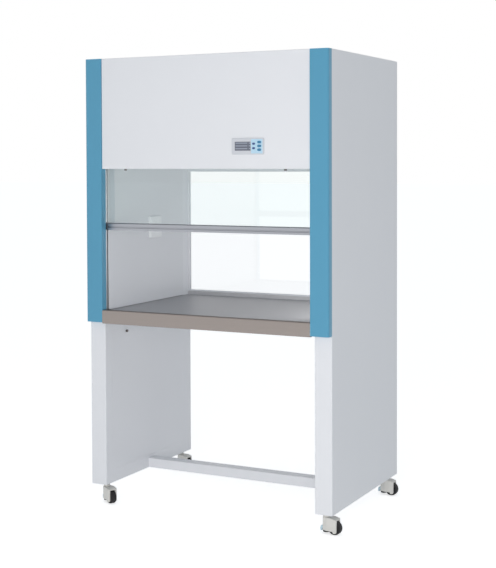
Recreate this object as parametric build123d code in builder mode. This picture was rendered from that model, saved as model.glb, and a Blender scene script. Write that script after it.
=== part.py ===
from build123d import *
import os
from math import cos, radians, sin

# Vertical laminar flow hood on four swivel casters, a clean bench for one person.
# Millimetres. X runs to the right, the user stands on the -Y side, Z is up from the floor,
# and the origin is on the floor under the middle of the whole bench.

os.makedirs("parts", exist_ok=True)

# ---------------------------------------------------------------- driving dimensions
# Whole bench
width = 1000.0  # across both side walls
height = 1700.0  # floor to roof
wall_depth = 660.0  # side walls, front to back
column_proud = 30.0  # front columns, ahead of the side walls
wall_width = 66.0  # one hollow side wall
caster_height = 75.0  # floor to the underside of the walls
worktop_height = 751.0  # floor to the front lip of the worktop
front_panel_height = 415.0  # roof down to the lower edge of the front panel
ceiling_drop = 380.0  # roof down to the diffuser over the work space

# Sheet metal
sheet = 1.5
thin_sheet = 1.2
bend = 2.5  # outside radius of an ordinary bend
seam = 0.3  # gap between neighbouring panels

# Side walls
front_post_depth = 46.0
rear_post_depth = 60.0
tube_wall = 2.0
base_rail_height = 50.0
caster_pad = 8.0
lower_panel_top = 660.0
lower_panel_fold = 12.0
rail_width = 36.0
head_rail = 38.0
ledge_width = 24.0
liner_gap = 3.0  # sealed joint between the chamber walls and the worktop

# Columns
column_width = 71.0
column_radius = 10.0
column_foot = 47.0  # worktop lip down to the foot of the columns

# Worktop
apron_height = 51.0
lip_depth = 23.0
lip_radius = 6.0
pan_recess = 7.0
pan_step = 4.0
pan_upstand = 9.0
pan_bearing = 34.0  # what rests on each side rail
apron_return = 20.0

# Stretcher
stretcher_depth = 50.0
stretcher_height = 38.0
stretcher_setback = 311.0  # from the front of the walls

# Front panel and roof
panel_setback = 5.0  # behind the face of the columns
panel_fold = 22.0
panel_radius = 2.0
roof_lip = 15.0
louvre_length = 180.0
louvre_width = 8.0
louvre_pitch_x = 200.0
louvre_pitch_y = 20.0
louvre_columns = 2
louvre_rows = 15
louvre_centre_y = 90.0

# Rear
rear_fold = 12.0
window_frame_depth = 15.0
window_bottom_rail = 13.0
window_top_rail = 11.0
window_side_rail = 8.0
window_bottom = 753.0
rear_panel_height = 420.0
rear_glass_thickness = 5.0
rear_glass_bite = 7.0
glazing_gap = 0.2

# Sash
sash_setback = 18.5  # middle of the pane, behind the front of the walls
sash_glass_thickness = 5.0
sash_bottom = 1053.0  # floor to the bar, with the sash half open
sash_overlap = 328.0  # pane behind the front panel, with the sash half open
sash_up = 70.0
sash_floor_gap = 2.0
bar_height = 27.0
bar_front = 12.5  # ahead of the middle of the pane
bar_back = 9.5
bar_side_gap = 2.0
bar_groove = 14.0
guide_depth = 14.0
guide_slot = 10.0
guide_slot_width = 6.0
guide_back_flange = 4.0
glass_edge_gap = 2.0
guide_wall = 2.0

# Sash balance
cable_inset = 24.0  # from the chamber wall
weight_inset = 33.0  # from the outer face
cable_radius = 1.0
cable_setback = 15.5  # behind the middle of the pane
pulley_drop = 45.0  # axle below the roof
pulley_rim = 3.5
pulley_thickness = 10.0
pulley_hub_length = 18.0
pulley_axle_radius = 4.0
running_gap = 0.08
clamp_width = 28.0
clamp_height = 24.0
clamp_top_drop = 68.0  # below the top of the pane
clamp_depth = 20.0
clamp_disc = 4.0
clamp_stud_radius = 5.0
weight_size = (34.0, 60.0, 257.0)
weight_hang = 345.0  # pulley axle down to the top of the weights
weight_chamfer = 4.0
bracket_width = 44.0
bracket_sheet = 1.5
bracket_inside = 19.0
pulley_bracket_bottom = 15.0  # below the axle

# Head: plenum, fan, filters
case_wall = 1.2
case_front_setback = 47.0
case_back_gap = 27.0
deck_height = 110.0  # above the ceiling
hepa_height = 69.0
hepa_side_gap = 6.0
hepa_frame = 18.0
hepa_recess = 4.0
blower_y = 40.0
blower_width = 190.0
blower_drop = 25.0  # tongue above the deck
scroll_start = 92.0
scroll_growth = 45.0
scroll_sweep = 285.0
scroll_points = 16
inlet_radius = 66.0
impeller_radius = 80.0
impeller_length = 156.0
impeller_ring = 3.0
blade_depth = 14.0
blade_thickness = 1.2
blade_lean = 25.0
blade_count = 32
hub_radius = 14.0
shaft_radius = 5.0
motor_radius = 52.0
motor_length = 90.0
motor_gap = 14.0
motor_foot = (70.0, 90.0)
shaft_end_gap = 12.0
prefilter_size = (430.0, 320.0, 14.5)
prefilter_frame = 15.0
prefilter_recess = 4.0
slot_length = 60.0
slot_width = 6.0
slot_pitch_x = 72.0
slot_pitch_y = 20.0
slot_columns = 10
slot_rows = 22
slot_centre_y = 60.0

# Lamps
lamp_y = -225.0
lamp_spacing = 30.0
lamp_length = 632.0
lamp_radius = 8.0
lamp_drop = 22.0  # tube axis below the ceiling
fitting_length = 660.0
fitting_depth = 60.0
fitting_height = 11.0
holder_length = 12.0
holder_drop = 33.0

# Control panel
control_left = 125.0
control_size = (128.0, 59.0)
control_rise = 51.0  # above the lower edge of the front panel
control_proud = 4.0
control_radius = 5.0
control_rim = 4.0
control_depth = 18.0
control_face = 3.5
control_wall = 3.0
window_offset = (13.0, 14.0)
window_size = (63.0, 32.0)
window_recess = 1.5
window_gap = 0.2
key_gap = 0.3
key_travel = 1.0
key_proud = 1.0
key_flange = 1.5
key_stem_radius = 2.0
key_room = 3.6  # free depth behind the stems, inside the panel
keys = {  # name: (x and z from the panel's lower left corner, width, height)
    "key_fan": (110.0, 44.0, 15.0, 8.5),
    "key_light": (110.0, 30.5, 15.0, 8.5),
    "key_lamp": (110.0, 17.0, 15.0, 8.5),
    "key_up": (88.0, 38.5, 11.0, 7.0),
    "key_down": (88.0, 22.5, 11.0, 7.0),
}

# Wall socket on the left chamber wall
socket_size = 86.0
socket_proud = 9.0
socket_setback = 367.5
socket_height = 1048.0
socket_box = 60.0
socket_box_depth = 30.0
socket_radius = 4.0

# Mains inlet in the rear panel
inlet_from_corner = (120.0, 300.0)  # from the outer face, below the roof
inlet_flange = (50.0, 30.0, 2.0)
inlet_body = (30.0, 22.0, 20.0)
inlet_cavity = (24.0, 16.0, 16.0)

# Panel screws
screw_head_radius = 5.0
screw_head_height = 6.0
screw_shank_radius = 2.5
screw_shank_length = 8.0
screw_hole_gap = 0.2
panel_screw_x = 330.0
wall_screw = (148.0, 10.0)  # from the front of the wall, below the panel's top

# Casters
caster_inset = 40.0  # swivel axes, in from the outer face
caster_setbacks = (42.0, 618.0)  # swivel axes behind the front of the walls
caster_trail = 34.5
wheel_radius = 25.0
wheel_width = 22.0
wheel_round = 4.0
wheel_gap = 2.0
wheel_side_gap = 0.5
wheel_axle_radius = 3.0
hood_top = 60.0
hood_width = 38.0
hood_rear = 10.0  # behind the swivel axis
hood_front = 47.0  # ahead of it
hood_rear_half = 12.0
hood_nose_top = 55.0
hood_underside = 14.0
lobe_depth = 6.0
lobe_length = 13.0
boss_radius = 12.0
boss_top = 66.7
stem_radius = 6.0
stem_gap = 0.1
stem_above = 20.0
flange_radius = 16.0
flange_thickness = 3.0
neck_radius = 11.0
pin_radius = 5.5
pin_bottom = 57.0
rivet_radius = 1.5
foot_gap = 6.0  # floor to the raised foot
foot_radius = 12.0
foot_thickness = 7.0
spindle_radius = 4.0
spindle_top = 38.0
lever_width = 14.0
lever_reach = 21.0
lever_top = 27.0
lever_thickness = 9.0
lever_gap = 0.5
caster_headings = {  # degrees from the front, turning towards +X
    "front_right": 85.0,
    "rear_right": 87.0,
    "front_left": 62.0,
    "rear_left": 80.0,
}

# ---------------------------------------------------------------- planes worked out from them
half_width = width / 2
panel_bottom = height - front_panel_height
ceiling = height - ceiling_drop
rear_panel_bottom = height - rear_panel_height
control_bottom = panel_bottom + control_rise
inlet_centre = (half_width - inlet_from_corner[0], height - inlet_from_corner[1])
caster_x = half_width - caster_inset
inner_x = half_width - wall_width
skin_x = half_width - sheet - seam
wall_front = -(wall_depth + column_proud) / 2 + column_proud
wall_back = wall_front + wall_depth
column_front = wall_front - column_proud
column_inner_x = half_width - column_width
front_post_y = wall_front + front_post_depth
rear_post_y = wall_back - rear_post_depth
roof_under = height - sheet
pan_top = worktop_height - pan_recess
rail_top = pan_top - sheet
liner_bottom = pan_top + liner_gap
panel_front = column_front + panel_setback
panel_x = column_inner_x - seam
sash_y = wall_front + sash_setback
sash_top = panel_bottom + sash_overlap
cable_x = inner_x - cable_inset
weight_x = half_width - weight_inset
pulley_z = height - pulley_drop
weight_top = pulley_z - weight_hang
cable_y = sash_y + cable_setback
case_front = wall_front + case_front_setback
case_back = wall_back - case_back_gap
case_x = inner_x - seam
deck_z = ceiling + deck_height


def block(x, y, z, mode=Mode.ADD):
    """A box between a low and a high value along each axis."""
    with Locations(((x[0] + x[1]) / 2, (y[0] + y[1]) / 2, (z[0] + z[1]) / 2)):
        Box(x[1] - x[0], y[1] - y[0], z[1] - z[0], mode=mode)


def fold(plane, corners, strip, thickness=sheet, radius=bend):
    """A strip of sheet bent along corner points on one face, its thickness to their left."""
    with BuildLine(plane) as outline:
        FilletPolyline(*corners, radius=radius)
    make_brake_formed(thickness, strip, outline.line)


def save(part, name):
    """Label a finished piece and write it to its own file."""
    part.label = name
    export_step(part, f"parts/{name}.step")


def save_pair(part, name):
    """Write the right-hand piece as modelled and its mirror image as the left-hand one."""
    save(part, f"right_{name}")
    save(mirror(part, about=Plane.YZ), f"left_{name}")


# ---------------------------------------------------------------- side walls
# Outer sheet: the big flat side, bent round the front post and back into the wall.
with BuildPart() as outer_panel:
    fold(
        Plane.XY.offset(caster_height),
        [
            (inner_x, front_post_y - seam),
            (inner_x, wall_front),
            (half_width, wall_front),
            (half_width, rear_post_y - seam),
        ],
        height - caster_height,
    )
    # Above the worktop the inner return is cut away for the sash guide.
    block(
        (inner_x - sheet, inner_x + bend),
        (wall_front + sheet, front_post_y),
        (pan_top, height + sheet),
        mode=Mode.SUBTRACT,
    )
save_pair(outer_panel.part, "outer_panel")

# Welded frame inside the wall; its rear post shows as a strip of its own.
caster_ys = [wall_front + setback for setback in caster_setbacks]
with BuildPart() as side_frame:
    post_x = (inner_x + sheet + seam, skin_x)
    upright_y = (wall_front + sheet + seam, front_post_y)
    block(post_x, upright_y, (caster_height, rail_top))
    base_top = caster_height + base_rail_height
    block((inner_x, skin_x), (front_post_y, rear_post_y), (caster_height, base_top))
    block((inner_x, half_width), (rear_post_y, wall_back), (caster_height, roof_under))
    rail_x = (inner_x, inner_x + rail_width)
    block(rail_x, (front_post_y, rear_post_y), (lower_panel_top, rail_top))
    head_rail_x = (skin_x - head_rail, skin_x)
    head_rail_y = (cable_y + weight_size[1] / 2 + tube_wall, rear_post_y)
    block(head_rail_x, head_rail_y, (roof_under - head_rail, roof_under))
    # Hollows: open-topped posts, channels that open into the wall.
    floor_z = caster_height + tube_wall
    block(
        (post_x[0] + tube_wall, post_x[1] - tube_wall),
        (upright_y[0] + tube_wall, upright_y[1] - tube_wall),
        (floor_z, rail_top + tube_wall),
        mode=Mode.SUBTRACT,
    )
    block(
        (inner_x + tube_wall, skin_x - tube_wall),
        (front_post_y, rear_post_y),
        (floor_z, base_top + tube_wall),
        mode=Mode.SUBTRACT,
    )
    block(
        (inner_x + tube_wall, half_width - tube_wall),
        (rear_post_y + tube_wall, wall_back - tube_wall),
        (floor_z, height),
        mode=Mode.SUBTRACT,
    )
    block(
        (rail_x[0] + tube_wall, rail_x[1] + tube_wall),
        (front_post_y, rear_post_y),
        (lower_panel_top + tube_wall, rail_top - tube_wall),
        mode=Mode.SUBTRACT,
    )
    block(
        (head_rail_x[0] - tube_wall, head_rail_x[1] - tube_wall),
        (head_rail_y[0] - tube_wall, head_rail_y[1]),
        (roof_under - head_rail + tube_wall, roof_under - tube_wall),
        mode=Mode.SUBTRACT,
    )
    # Caster pads, each with a hole for the stem and room above it.
    pad_reach = wall_width / 2 - tube_wall - sheet
    for y in caster_ys:
        pad_y = (max(y - pad_reach, upright_y[0]), min(y + pad_reach, wall_back))
        block(post_x, pad_y, (caster_height, caster_height + caster_pad))
        with Locations((caster_x, y, caster_height + caster_pad)):
            Cylinder(
                2 * stem_radius,
                stem_above,
                align=(Align.CENTER, Align.CENTER, Align.MIN),
                mode=Mode.SUBTRACT,
            )
        with Locations((caster_x, y, caster_height + caster_pad / 2)):
            Cylinder(stem_radius + stem_gap, 2 * caster_pad, mode=Mode.SUBTRACT)
save_pair(side_frame.part, "side_frame")

# Lower inner panel: a shallow tray that closes the wall beside the user's knees.
wall_screw_y = wall_front + wall_screw[0]
wall_screw_z = lower_panel_top - seam - wall_screw[1]
with BuildPart() as lower_panel:
    tray_y = (front_post_y + seam, rear_post_y - seam)
    tray_z = (base_top + seam, lower_panel_top - seam)
    block((inner_x, inner_x + lower_panel_fold), tray_y, tray_z)
    block(
        (inner_x + thin_sheet, inner_x + lower_panel_fold + sheet),
        (tray_y[0] + thin_sheet, tray_y[1] - thin_sheet),
        (tray_z[0] + thin_sheet, tray_z[1] - thin_sheet),
        mode=Mode.SUBTRACT,
    )
    with BuildSketch(Plane.YZ.offset(inner_x - sheet)):
        with Locations((wall_screw_y, wall_screw_z)):
            Circle(screw_shank_radius + screw_hole_gap)
    extrude(amount=2 * sheet + thin_sheet, mode=Mode.SUBTRACT)
save_pair(lower_panel.part, "lower_panel")

# Chamber wall: one sheet, bent inwards at the top as the ledge that carries the head.
liner_y = (sash_y + guide_slot_width / 2 + guide_back_flange + seam, rear_post_y - seam)
with BuildPart() as chamber_wall:
    block((inner_x, inner_x + thin_sheet), liner_y, (liner_bottom, ceiling))
    ledge_x = (inner_x - ledge_width, inner_x + thin_sheet)
    block(ledge_x, (case_front, liner_y[1]), (ceiling - thin_sheet, ceiling))
    along = chamber_wall.edges().filter_by(Axis.Y)
    outer_bend = along.group_by(Axis.Z)[-1].sort_by(Axis.X)[-1]
    inner_bend = along.group_by(Axis.Z)[-2].sort_by(Axis.X)[-1]
    fillet(outer_bend, bend)
    fillet(inner_bend, bend - thin_sheet)
save(chamber_wall.part, "right_chamber_wall")

socket_y = wall_front + socket_setback
with BuildPart() as left_chamber_wall:
    add(mirror(chamber_wall.part, about=Plane.YZ))
    cut_out = socket_box / 2 + seam
    block(
        (-inner_x - bend, -inner_x + bend),
        (socket_y - cut_out, socket_y + cut_out),
        (socket_height - cut_out, socket_height + cut_out),
        mode=Mode.SUBTRACT,
    )
save(left_chamber_wall.part, "left_chamber_wall")

# Front columns: folded covers with one rounded outer edge and a lid at each end.
column_z = (worktop_height - column_foot, height)
with BuildPart() as column:
    fold(
        Plane.XY.offset(column_z[0]),
        [
            (column_inner_x, wall_front - seam),
            (column_inner_x, column_front),
            (half_width, column_front),
            (half_width, wall_front - seam),
        ],
        column_z[1] - column_z[0],
        radius=[bend, column_radius],
    )
    for z in (column_z[0], column_z[1] - sheet):
        with BuildSketch(Plane.XY.offset(z)):
            with BuildLine():
                FilletPolyline(
                    (column_inner_x, wall_front - seam),
                    (column_inner_x, column_front),
                    (half_width, column_front),
                    (half_width, wall_front - seam),
                    radius=[bend, column_radius],
                )
                Line((half_width, wall_front - seam), (column_inner_x, wall_front - seam))
            make_face()
        extrude(amount=sheet)
save_pair(column.part, "column")

# Stretcher: a plain tube between the walls.
stretcher_y = wall_front + stretcher_setback
with BuildPart() as stretcher:
    tube_y = (stretcher_y, stretcher_y + stretcher_depth)
    tube_z = (caster_height, caster_height + stretcher_height)
    block((-inner_x, inner_x), tube_y, tube_z)
    fillet(stretcher.edges().filter_by(Axis.X), tube_wall)
    block(
        (-half_width, half_width),
        (tube_y[0] + tube_wall, tube_y[1] - tube_wall),
        (tube_z[0] + tube_wall, tube_z[1] - tube_wall),
        mode=Mode.SUBTRACT,
    )
save(stretcher.part, "stretcher")

# ---------------------------------------------------------------- worktop
pan_x = inner_x + pan_bearing
window_front = wall_back - 2 * sheet - seam - window_frame_depth + sheet
pan_back = window_front + sheet
with BuildPart() as worktop:
    fold(
        Plane.YZ.offset(-pan_x),
        [
            (pan_back, pan_top + pan_upstand),
            (pan_back, pan_top),
            (column_front + lip_depth + pan_step, pan_top),
            (column_front + lip_depth, worktop_height),
            (column_front, worktop_height),
            (column_front, worktop_height - apron_height),
            (column_front + apron_return, worktop_height - apron_height),
        ],
        2 * pan_x,
        radius=[bend, bend, bend, lip_radius, bend],
    )
    cut_z = (worktop_height - 2 * apron_height, worktop_height + apron_height)
    for side in (-1, 1):
        # between the columns, beside the front posts, beside the rear posts
        for edge_x, y in (
            (panel_x, (column_front - sheet, wall_front)),
            (inner_x - seam, (wall_front - sheet, front_post_y + seam)),
            (inner_x - seam, (rear_post_y - seam, wall_back)),
        ):
            x = sorted((side * edge_x, side * (half_width + sheet)))
            block(x, y, cut_z, mode=Mode.SUBTRACT)
save(worktop.part, "worktop")

# ---------------------------------------------------------------- front panel and roof
control_x = control_left + control_size[0] / 2
control_z = control_bottom + control_size[1] / 2
panel_screw_y = panel_front + panel_fold / 2
with BuildPart() as front_panel:
    block((-panel_x, panel_x), (panel_front, panel_front + panel_fold), (panel_bottom, height))
    fillet(front_panel.faces().sort_by(Axis.Y)[0].edges(), panel_radius)
    block(
        (-panel_x + sheet, panel_x - sheet),
        (panel_front + sheet, panel_front + panel_fold + sheet),
        (panel_bottom + sheet, roof_under),
        mode=Mode.SUBTRACT,
    )
    # The top fold reaches back to the roof.
    top_fold_y = (panel_front + panel_fold - sheet, wall_front + sheet)
    block((-panel_x, panel_x), top_fold_y, (roof_under, height))
    # Cut-out for the control panel.
    with BuildSketch(Plane.XZ.offset(-panel_front - 2 * sheet)):
        with Locations((control_x, control_z)):
            Rectangle(control_size[0] - 2 * control_rim, control_size[1] - 2 * control_rim)
    extrude(amount=4 * sheet, mode=Mode.SUBTRACT)
    with BuildSketch(Plane.XY.offset(panel_bottom - sheet)):
        with Locations((-panel_screw_x, panel_screw_y), (panel_screw_x, panel_screw_y)):
            Circle(screw_shank_radius + screw_hole_gap)
    extrude(amount=3 * sheet, mode=Mode.SUBTRACT)
save(front_panel.part, "front_panel")

roof_front = wall_front + sheet + seam
roof_back = wall_back - seam
with BuildPart() as roof_panel:
    block((-skin_x, skin_x), (roof_front, roof_back), (roof_under, height))
    lip_x = (-inner_x + sheet, inner_x - sheet)
    block(lip_x, (roof_front, roof_front + sheet), (height - roof_lip, height))
    fillet(roof_panel.faces().sort_by(Axis.Y)[0].edges().sort_by(Axis.Z)[-1], bend)
    # Air intake: punched slots over the prefilter.
    with BuildSketch(Plane.XY.offset(height + sheet)):
        with Locations((0, louvre_centre_y)):
            with GridLocations(louvre_pitch_x, louvre_pitch_y, louvre_columns, louvre_rows):
                Rectangle(louvre_length, louvre_width)
    extrude(amount=-3 * sheet, mode=Mode.SUBTRACT)
save(roof_panel.part, "roof_panel")

# ---------------------------------------------------------------- rear
with BuildPart() as rear_panel:
    rear_y = (wall_back - rear_fold, wall_back)
    rear_z = (rear_panel_bottom + seam, roof_under - seam)
    block((-case_x, case_x), rear_y, rear_z)
    block(
        (-case_x + sheet, case_x - sheet),
        (rear_y[0] - sheet, wall_back - sheet),
        (rear_z[0] + sheet, rear_z[1] - sheet),
        mode=Mode.SUBTRACT,
    )
    with BuildSketch(Plane.XZ.offset(-wall_back - sheet)):
        with Locations(inlet_centre):
            Rectangle(inlet_body[0] + 2 * seam, inlet_body[1] + 2 * seam)
    extrude(amount=4 * sheet, mode=Mode.SUBTRACT)
save(rear_panel.part, "rear_panel")

# Window frame: four welded channels that hold the rear glass.
window_y = (window_front, window_front + window_frame_depth)
glass_y = (window_y[0] + window_y[1]) / 2
pane_x = case_x - window_side_rail + rear_glass_bite
pane_z = (
    window_bottom + window_bottom_rail - rear_glass_bite,
    rear_panel_bottom - window_top_rail + rear_glass_bite,
)
with BuildPart() as rear_window_frame:
    block((-case_x, case_x), window_y, (window_bottom, rear_panel_bottom))
    block(
        (-case_x + window_side_rail, case_x - window_side_rail),
        (window_y[0] - sheet, window_y[1] + sheet),
        (window_bottom + window_bottom_rail, rear_panel_bottom - window_top_rail),
        mode=Mode.SUBTRACT,
    )
    half_slot = rear_glass_thickness / 2 + glazing_gap
    block(
        (-pane_x - glazing_gap, pane_x + glazing_gap),
        (glass_y - half_slot, glass_y + half_slot),
        (pane_z[0] - glazing_gap, pane_z[1] + glazing_gap),
        mode=Mode.SUBTRACT,
    )
save(rear_window_frame.part, "rear_window_frame")

with BuildPart() as rear_glass:
    half_pane = rear_glass_thickness / 2
    block((-pane_x, pane_x), (glass_y - half_pane, glass_y + half_pane), pane_z)
save(rear_glass.part, "rear_glass")

# Mains inlet: a flanged body with three pins, let into the rear panel.
with BuildPart() as mains_inlet:
    inlet_x, inlet_z = inlet_centre
    with BuildSketch(Plane.XZ.offset(-wall_back)):
        with Locations(inlet_centre):
            RectangleRounded(inlet_flange[0], inlet_flange[1], inlet_flange[2])
    extrude(amount=-inlet_flange[2])
    with BuildSketch(Plane.XZ.offset(-wall_back)):
        with Locations(inlet_centre):
            Rectangle(inlet_body[0], inlet_body[1])
    extrude(amount=inlet_body[2])
    with BuildSketch(Plane.XZ.offset(-wall_back - inlet_flange[2])):
        with Locations(inlet_centre):
            Rectangle(inlet_cavity[0], inlet_cavity[1])
    extrude(amount=inlet_cavity[2], mode=Mode.SUBTRACT)
    with BuildSketch(Plane.XZ.offset(-wall_back - inlet_flange[2] + inlet_cavity[2])):
        with Locations(inlet_centre):
            with Locations((-7, -2), (0, 3), (7, -2)):
                Rectangle(2, 4)
    extrude(amount=-0.8 * inlet_cavity[2])
save(mains_inlet.part, "mains_inlet")

# ---------------------------------------------------------------- sash
pane_half = inner_x + guide_slot - glass_edge_gap
bar_y = (sash_y - bar_front, sash_y + bar_back)
clamp_x = (cable_x - clamp_width / 2 + 4, cable_x + clamp_width / 2 + 4)
clamp_z = (sash_top - clamp_top_drop - clamp_height, sash_top - clamp_top_drop)
stud_z = (clamp_z[0] + clamp_z[1]) / 2
stud_x = (clamp_x[0] + clamp_x[1]) / 2
half_glass = sash_glass_thickness / 2
with BuildPart() as sash_glass:
    block(
        (-pane_half, pane_half),
        (sash_y - half_glass, sash_y + half_glass),
        (sash_bottom + bar_height - bar_groove, sash_top),
    )
    with BuildSketch(Plane.XZ.offset(-sash_y - sash_glass_thickness)):
        with Locations((-stud_x, stud_z), (stud_x, stud_z)):
            Circle(clamp_stud_radius + seam)
    extrude(amount=2 * sash_glass_thickness, mode=Mode.SUBTRACT)
save(sash_glass.part, "sash_glass")

# Handle bar: an extruded section with a finger groove in front and a glass groove on top.
with BuildPart() as sash_handle:
    bar_half = inner_x - bar_side_gap
    lip, groove_in, groove_top, shoulder = 8.4, 5.0, 13.4, 3.0
    with BuildSketch(Plane.YZ.offset(-bar_half)):
        with BuildLine():
            front, back = bar_y
            low, high = sash_bottom, sash_bottom + bar_height
            Polyline(
                (back, low),
                (front, low),
                (front, low + lip),
                (front + groove_in, low + lip + 1),
                (front + groove_in, low + groove_top - 1),
                (front + 1, low + groove_top),
                (front + 1, high - shoulder),
                (front + groove_in, high),
                (back - 1, high),
                (back, high - 1),
                (back, low),
            )
        make_face()
        with Locations((sash_y, high - bar_groove / 2)):
            Rectangle(sash_glass_thickness + glazing_gap, bar_groove, mode=Mode.SUBTRACT)
    extrude(amount=2 * bar_half)
save(sash_handle.part, "sash_handle")

# Cable clamps: a stud through the glass, a disc in front and a block behind.
with BuildPart() as sash_clamps:
    block(clamp_x, (sash_y + half_glass, sash_y + half_glass + clamp_depth), clamp_z)
    chamfer(sash_clamps.edges().filter_by(Axis.Y), 2)
    with Locations(Plane((stud_x, sash_y - half_glass, stud_z), z_dir=(0, -1, 0))):
        Cylinder(2 * clamp_stud_radius, clamp_disc, align=(Align.CENTER, Align.CENTER, Align.MIN))
    with Locations(Plane((stud_x, sash_y, stud_z), z_dir=(0, -1, 0))):
        Cylinder(clamp_stud_radius, sash_glass_thickness + sheet)
    mirror(about=Plane.YZ)
save(sash_clamps.part, "sash_clamps")

# Sash guides: extruded channels with one hollow chamber in front of the glass slot.
guide_y = (wall_front + sheet + seam, liner_y[0] - seam)
guide_z = (worktop_height, height - pulley_drop - pulley_bracket_bottom - seam)
slot_y = (sash_y - guide_slot_width / 2, sash_y + guide_slot_width / 2)
with BuildPart() as sash_guide:
    block((inner_x, inner_x + guide_depth), guide_y, guide_z)
    block((inner_x - sheet, inner_x + guide_slot), slot_y, (guide_z[0] - 1, guide_z[1] + 1), mode=Mode.SUBTRACT)
    block(
        (inner_x + guide_wall, inner_x + guide_depth - guide_wall),
        (guide_y[0] + guide_wall, slot_y[0] - guide_wall),
        (guide_z[0] - 1, guide_z[1] + 1),
        mode=Mode.SUBTRACT,
    )
save_pair(sash_guide.part, "sash_guide")

# Pulleys turn in brackets under the roof, half in the sash pocket and half in the wall.
pulley_radius = (weight_x - cable_x) / 2
pulley_x = (weight_x + cable_x) / 2
pulley_plane = Plane((pulley_x, cable_y, pulley_z), x_dir=(1, 0, 0), z_dir=(0, -1, 0))
with BuildPart() as pulley:
    with BuildSketch(Plane((pulley_x, cable_y, pulley_z), x_dir=(1, 0, 0), z_dir=(0, 0, 1))):
        with BuildLine():
            rim = pulley_radius + pulley_rim
            seat = pulley_radius - 2 * cable_radius
            half = pulley_thickness / 2
            hub = pulley_hub_length / 2
            Polyline(
                (pulley_axle_radius + running_gap, -hub),
                (2 * pulley_axle_radius, -hub),
                (2 * pulley_axle_radius, -half),
                (rim, -half),
                (seat, 0),
                (rim, half),
                (2 * pulley_axle_radius, half),
                (2 * pulley_axle_radius, hub),
                (pulley_axle_radius + running_gap, hub),
                close=True,
            )
        make_face()
    revolve(axis=Axis((pulley_x, cable_y, pulley_z), (0, 1, 0)))
save_pair(pulley.part, "pulley")

# Pulley rail: a folded channel across the bench with a pair of ears for each pulley.
with BuildPart() as pulley_rail:
    ear_out = bracket_inside / 2 + bracket_sheet
    rail_y = (cable_y - ear_out, cable_y + ear_out)
    block((-skin_x, skin_x), rail_y, (roof_under - bracket_sheet, roof_under))
    ear_z = (pulley_z - pulley_bracket_bottom, roof_under)
    for side in (-1, 1):
        ear_x = sorted((side * (pulley_x - bracket_width / 2), side * (pulley_x + bracket_width / 2)))
        block(ear_x, (rail_y[0], rail_y[0] + bracket_sheet), ear_z)
        block(ear_x, (rail_y[1] - bracket_sheet, rail_y[1]), ear_z)
        with Locations(Plane((side * pulley_x, cable_y, pulley_z), z_dir=(0, -1, 0))):
            Cylinder(pulley_axle_radius, 2 * ear_out)
save(pulley_rail.part, "pulley_rail")

# Cables: from each clamp up, half round the pulley and down to the weight.
with BuildPart() as cable:
    with BuildLine():
        up = Line((cable_x, cable_y, clamp_z[1]), (cable_x, cable_y, pulley_z))
        over = ThreePointArc(
            (cable_x, cable_y, pulley_z),
            (pulley_x, cable_y, pulley_z + pulley_radius),
            (weight_x, cable_y, pulley_z),
        )
        Line((weight_x, cable_y, pulley_z), (weight_x, cable_y, weight_top))
    with BuildSketch(Plane.XY.offset(clamp_z[1])):
        with Locations((cable_x, cable_y)):
            Circle(cable_radius)
    sweep()
    mirror(about=Plane.YZ)
save(cable.part, "sash_cables")

with BuildPart() as counterweight:
    with Locations((weight_x, cable_y, weight_top - weight_size[2] / 2)):
        Box(*weight_size)
    chamfer(counterweight.edges(), weight_chamfer)
save_pair(counterweight.part, "counterweight")

# ---------------------------------------------------------------- head
case_bottom = ceiling + thin_sheet
case_top = roof_under - seam - prefilter_size[2]
case_inner_x = case_x - case_wall
scroll_end = scroll_start + scroll_growth
tongue_angle = scroll_sweep - 360.0
blower_z = deck_z + case_wall + blower_drop - scroll_start * sin(radians(tongue_angle))
outlet_y = (blower_y + scroll_start * cos(radians(tongue_angle)), blower_y + scroll_end)
with BuildPart() as plenum_case:
    block((-case_x, case_x), (case_front, case_back), (case_bottom, case_top))
    inside_y = (case_front + case_wall, case_back - case_wall)
    block((-case_inner_x, case_inner_x), inside_y, (case_bottom - 1, deck_z), mode=Mode.SUBTRACT)
    block(
        (-case_inner_x, case_inner_x),
        inside_y,
        (deck_z + case_wall, case_top + 1),
        mode=Mode.SUBTRACT,
    )
    outlet_x = blower_width / 2 - sheet
    block(
        (-outlet_x, outlet_x),
        (outlet_y[0] + sheet, outlet_y[1] - sheet),
        (deck_z - 1, deck_z + 2 * case_wall),
        mode=Mode.SUBTRACT,
    )
save(plenum_case.part, "plenum_case")

# Diffuser: a slotted plate that rests on the chamber walls' ledges.
with BuildPart() as diffuser_plate:
    block(
        (-case_x + sheet + seam, case_x - sheet - seam),
        (case_front, wall_back - sheet - seam),
        (ceiling, case_bottom),
    )
    with BuildSketch(Plane.XY.offset(ceiling - 1)):
        with Locations((0, slot_centre_y)):
            with GridLocations(slot_pitch_x, slot_pitch_y, slot_columns, slot_rows):
                Rectangle(slot_length, slot_width)
    extrude(amount=3, mode=Mode.SUBTRACT)
save(diffuser_plate.part, "diffuser_plate")

# HEPA filter: metal frame bonded round the pleated pack.
hepa_x = case_inner_x - hepa_side_gap
hepa_y = (inside_y[0] + hepa_side_gap, inside_y[1] - hepa_side_gap)
hepa_z = (case_bottom, case_bottom + hepa_height)
with BuildPart() as hepa_filter:
    block((-hepa_x, hepa_x), hepa_y, hepa_z)
    for z in ((hepa_z[0] - 1, hepa_z[0] + hepa_recess), (hepa_z[1] - hepa_recess, hepa_z[1] + 1)):
        block(
            (-hepa_x + hepa_frame, hepa_x - hepa_frame),
            (hepa_y[0] + hepa_frame, hepa_y[1] - hepa_frame),
            z,
            mode=Mode.SUBTRACT,
        )
save(hepa_filter.part, "hepa_filter")


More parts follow.
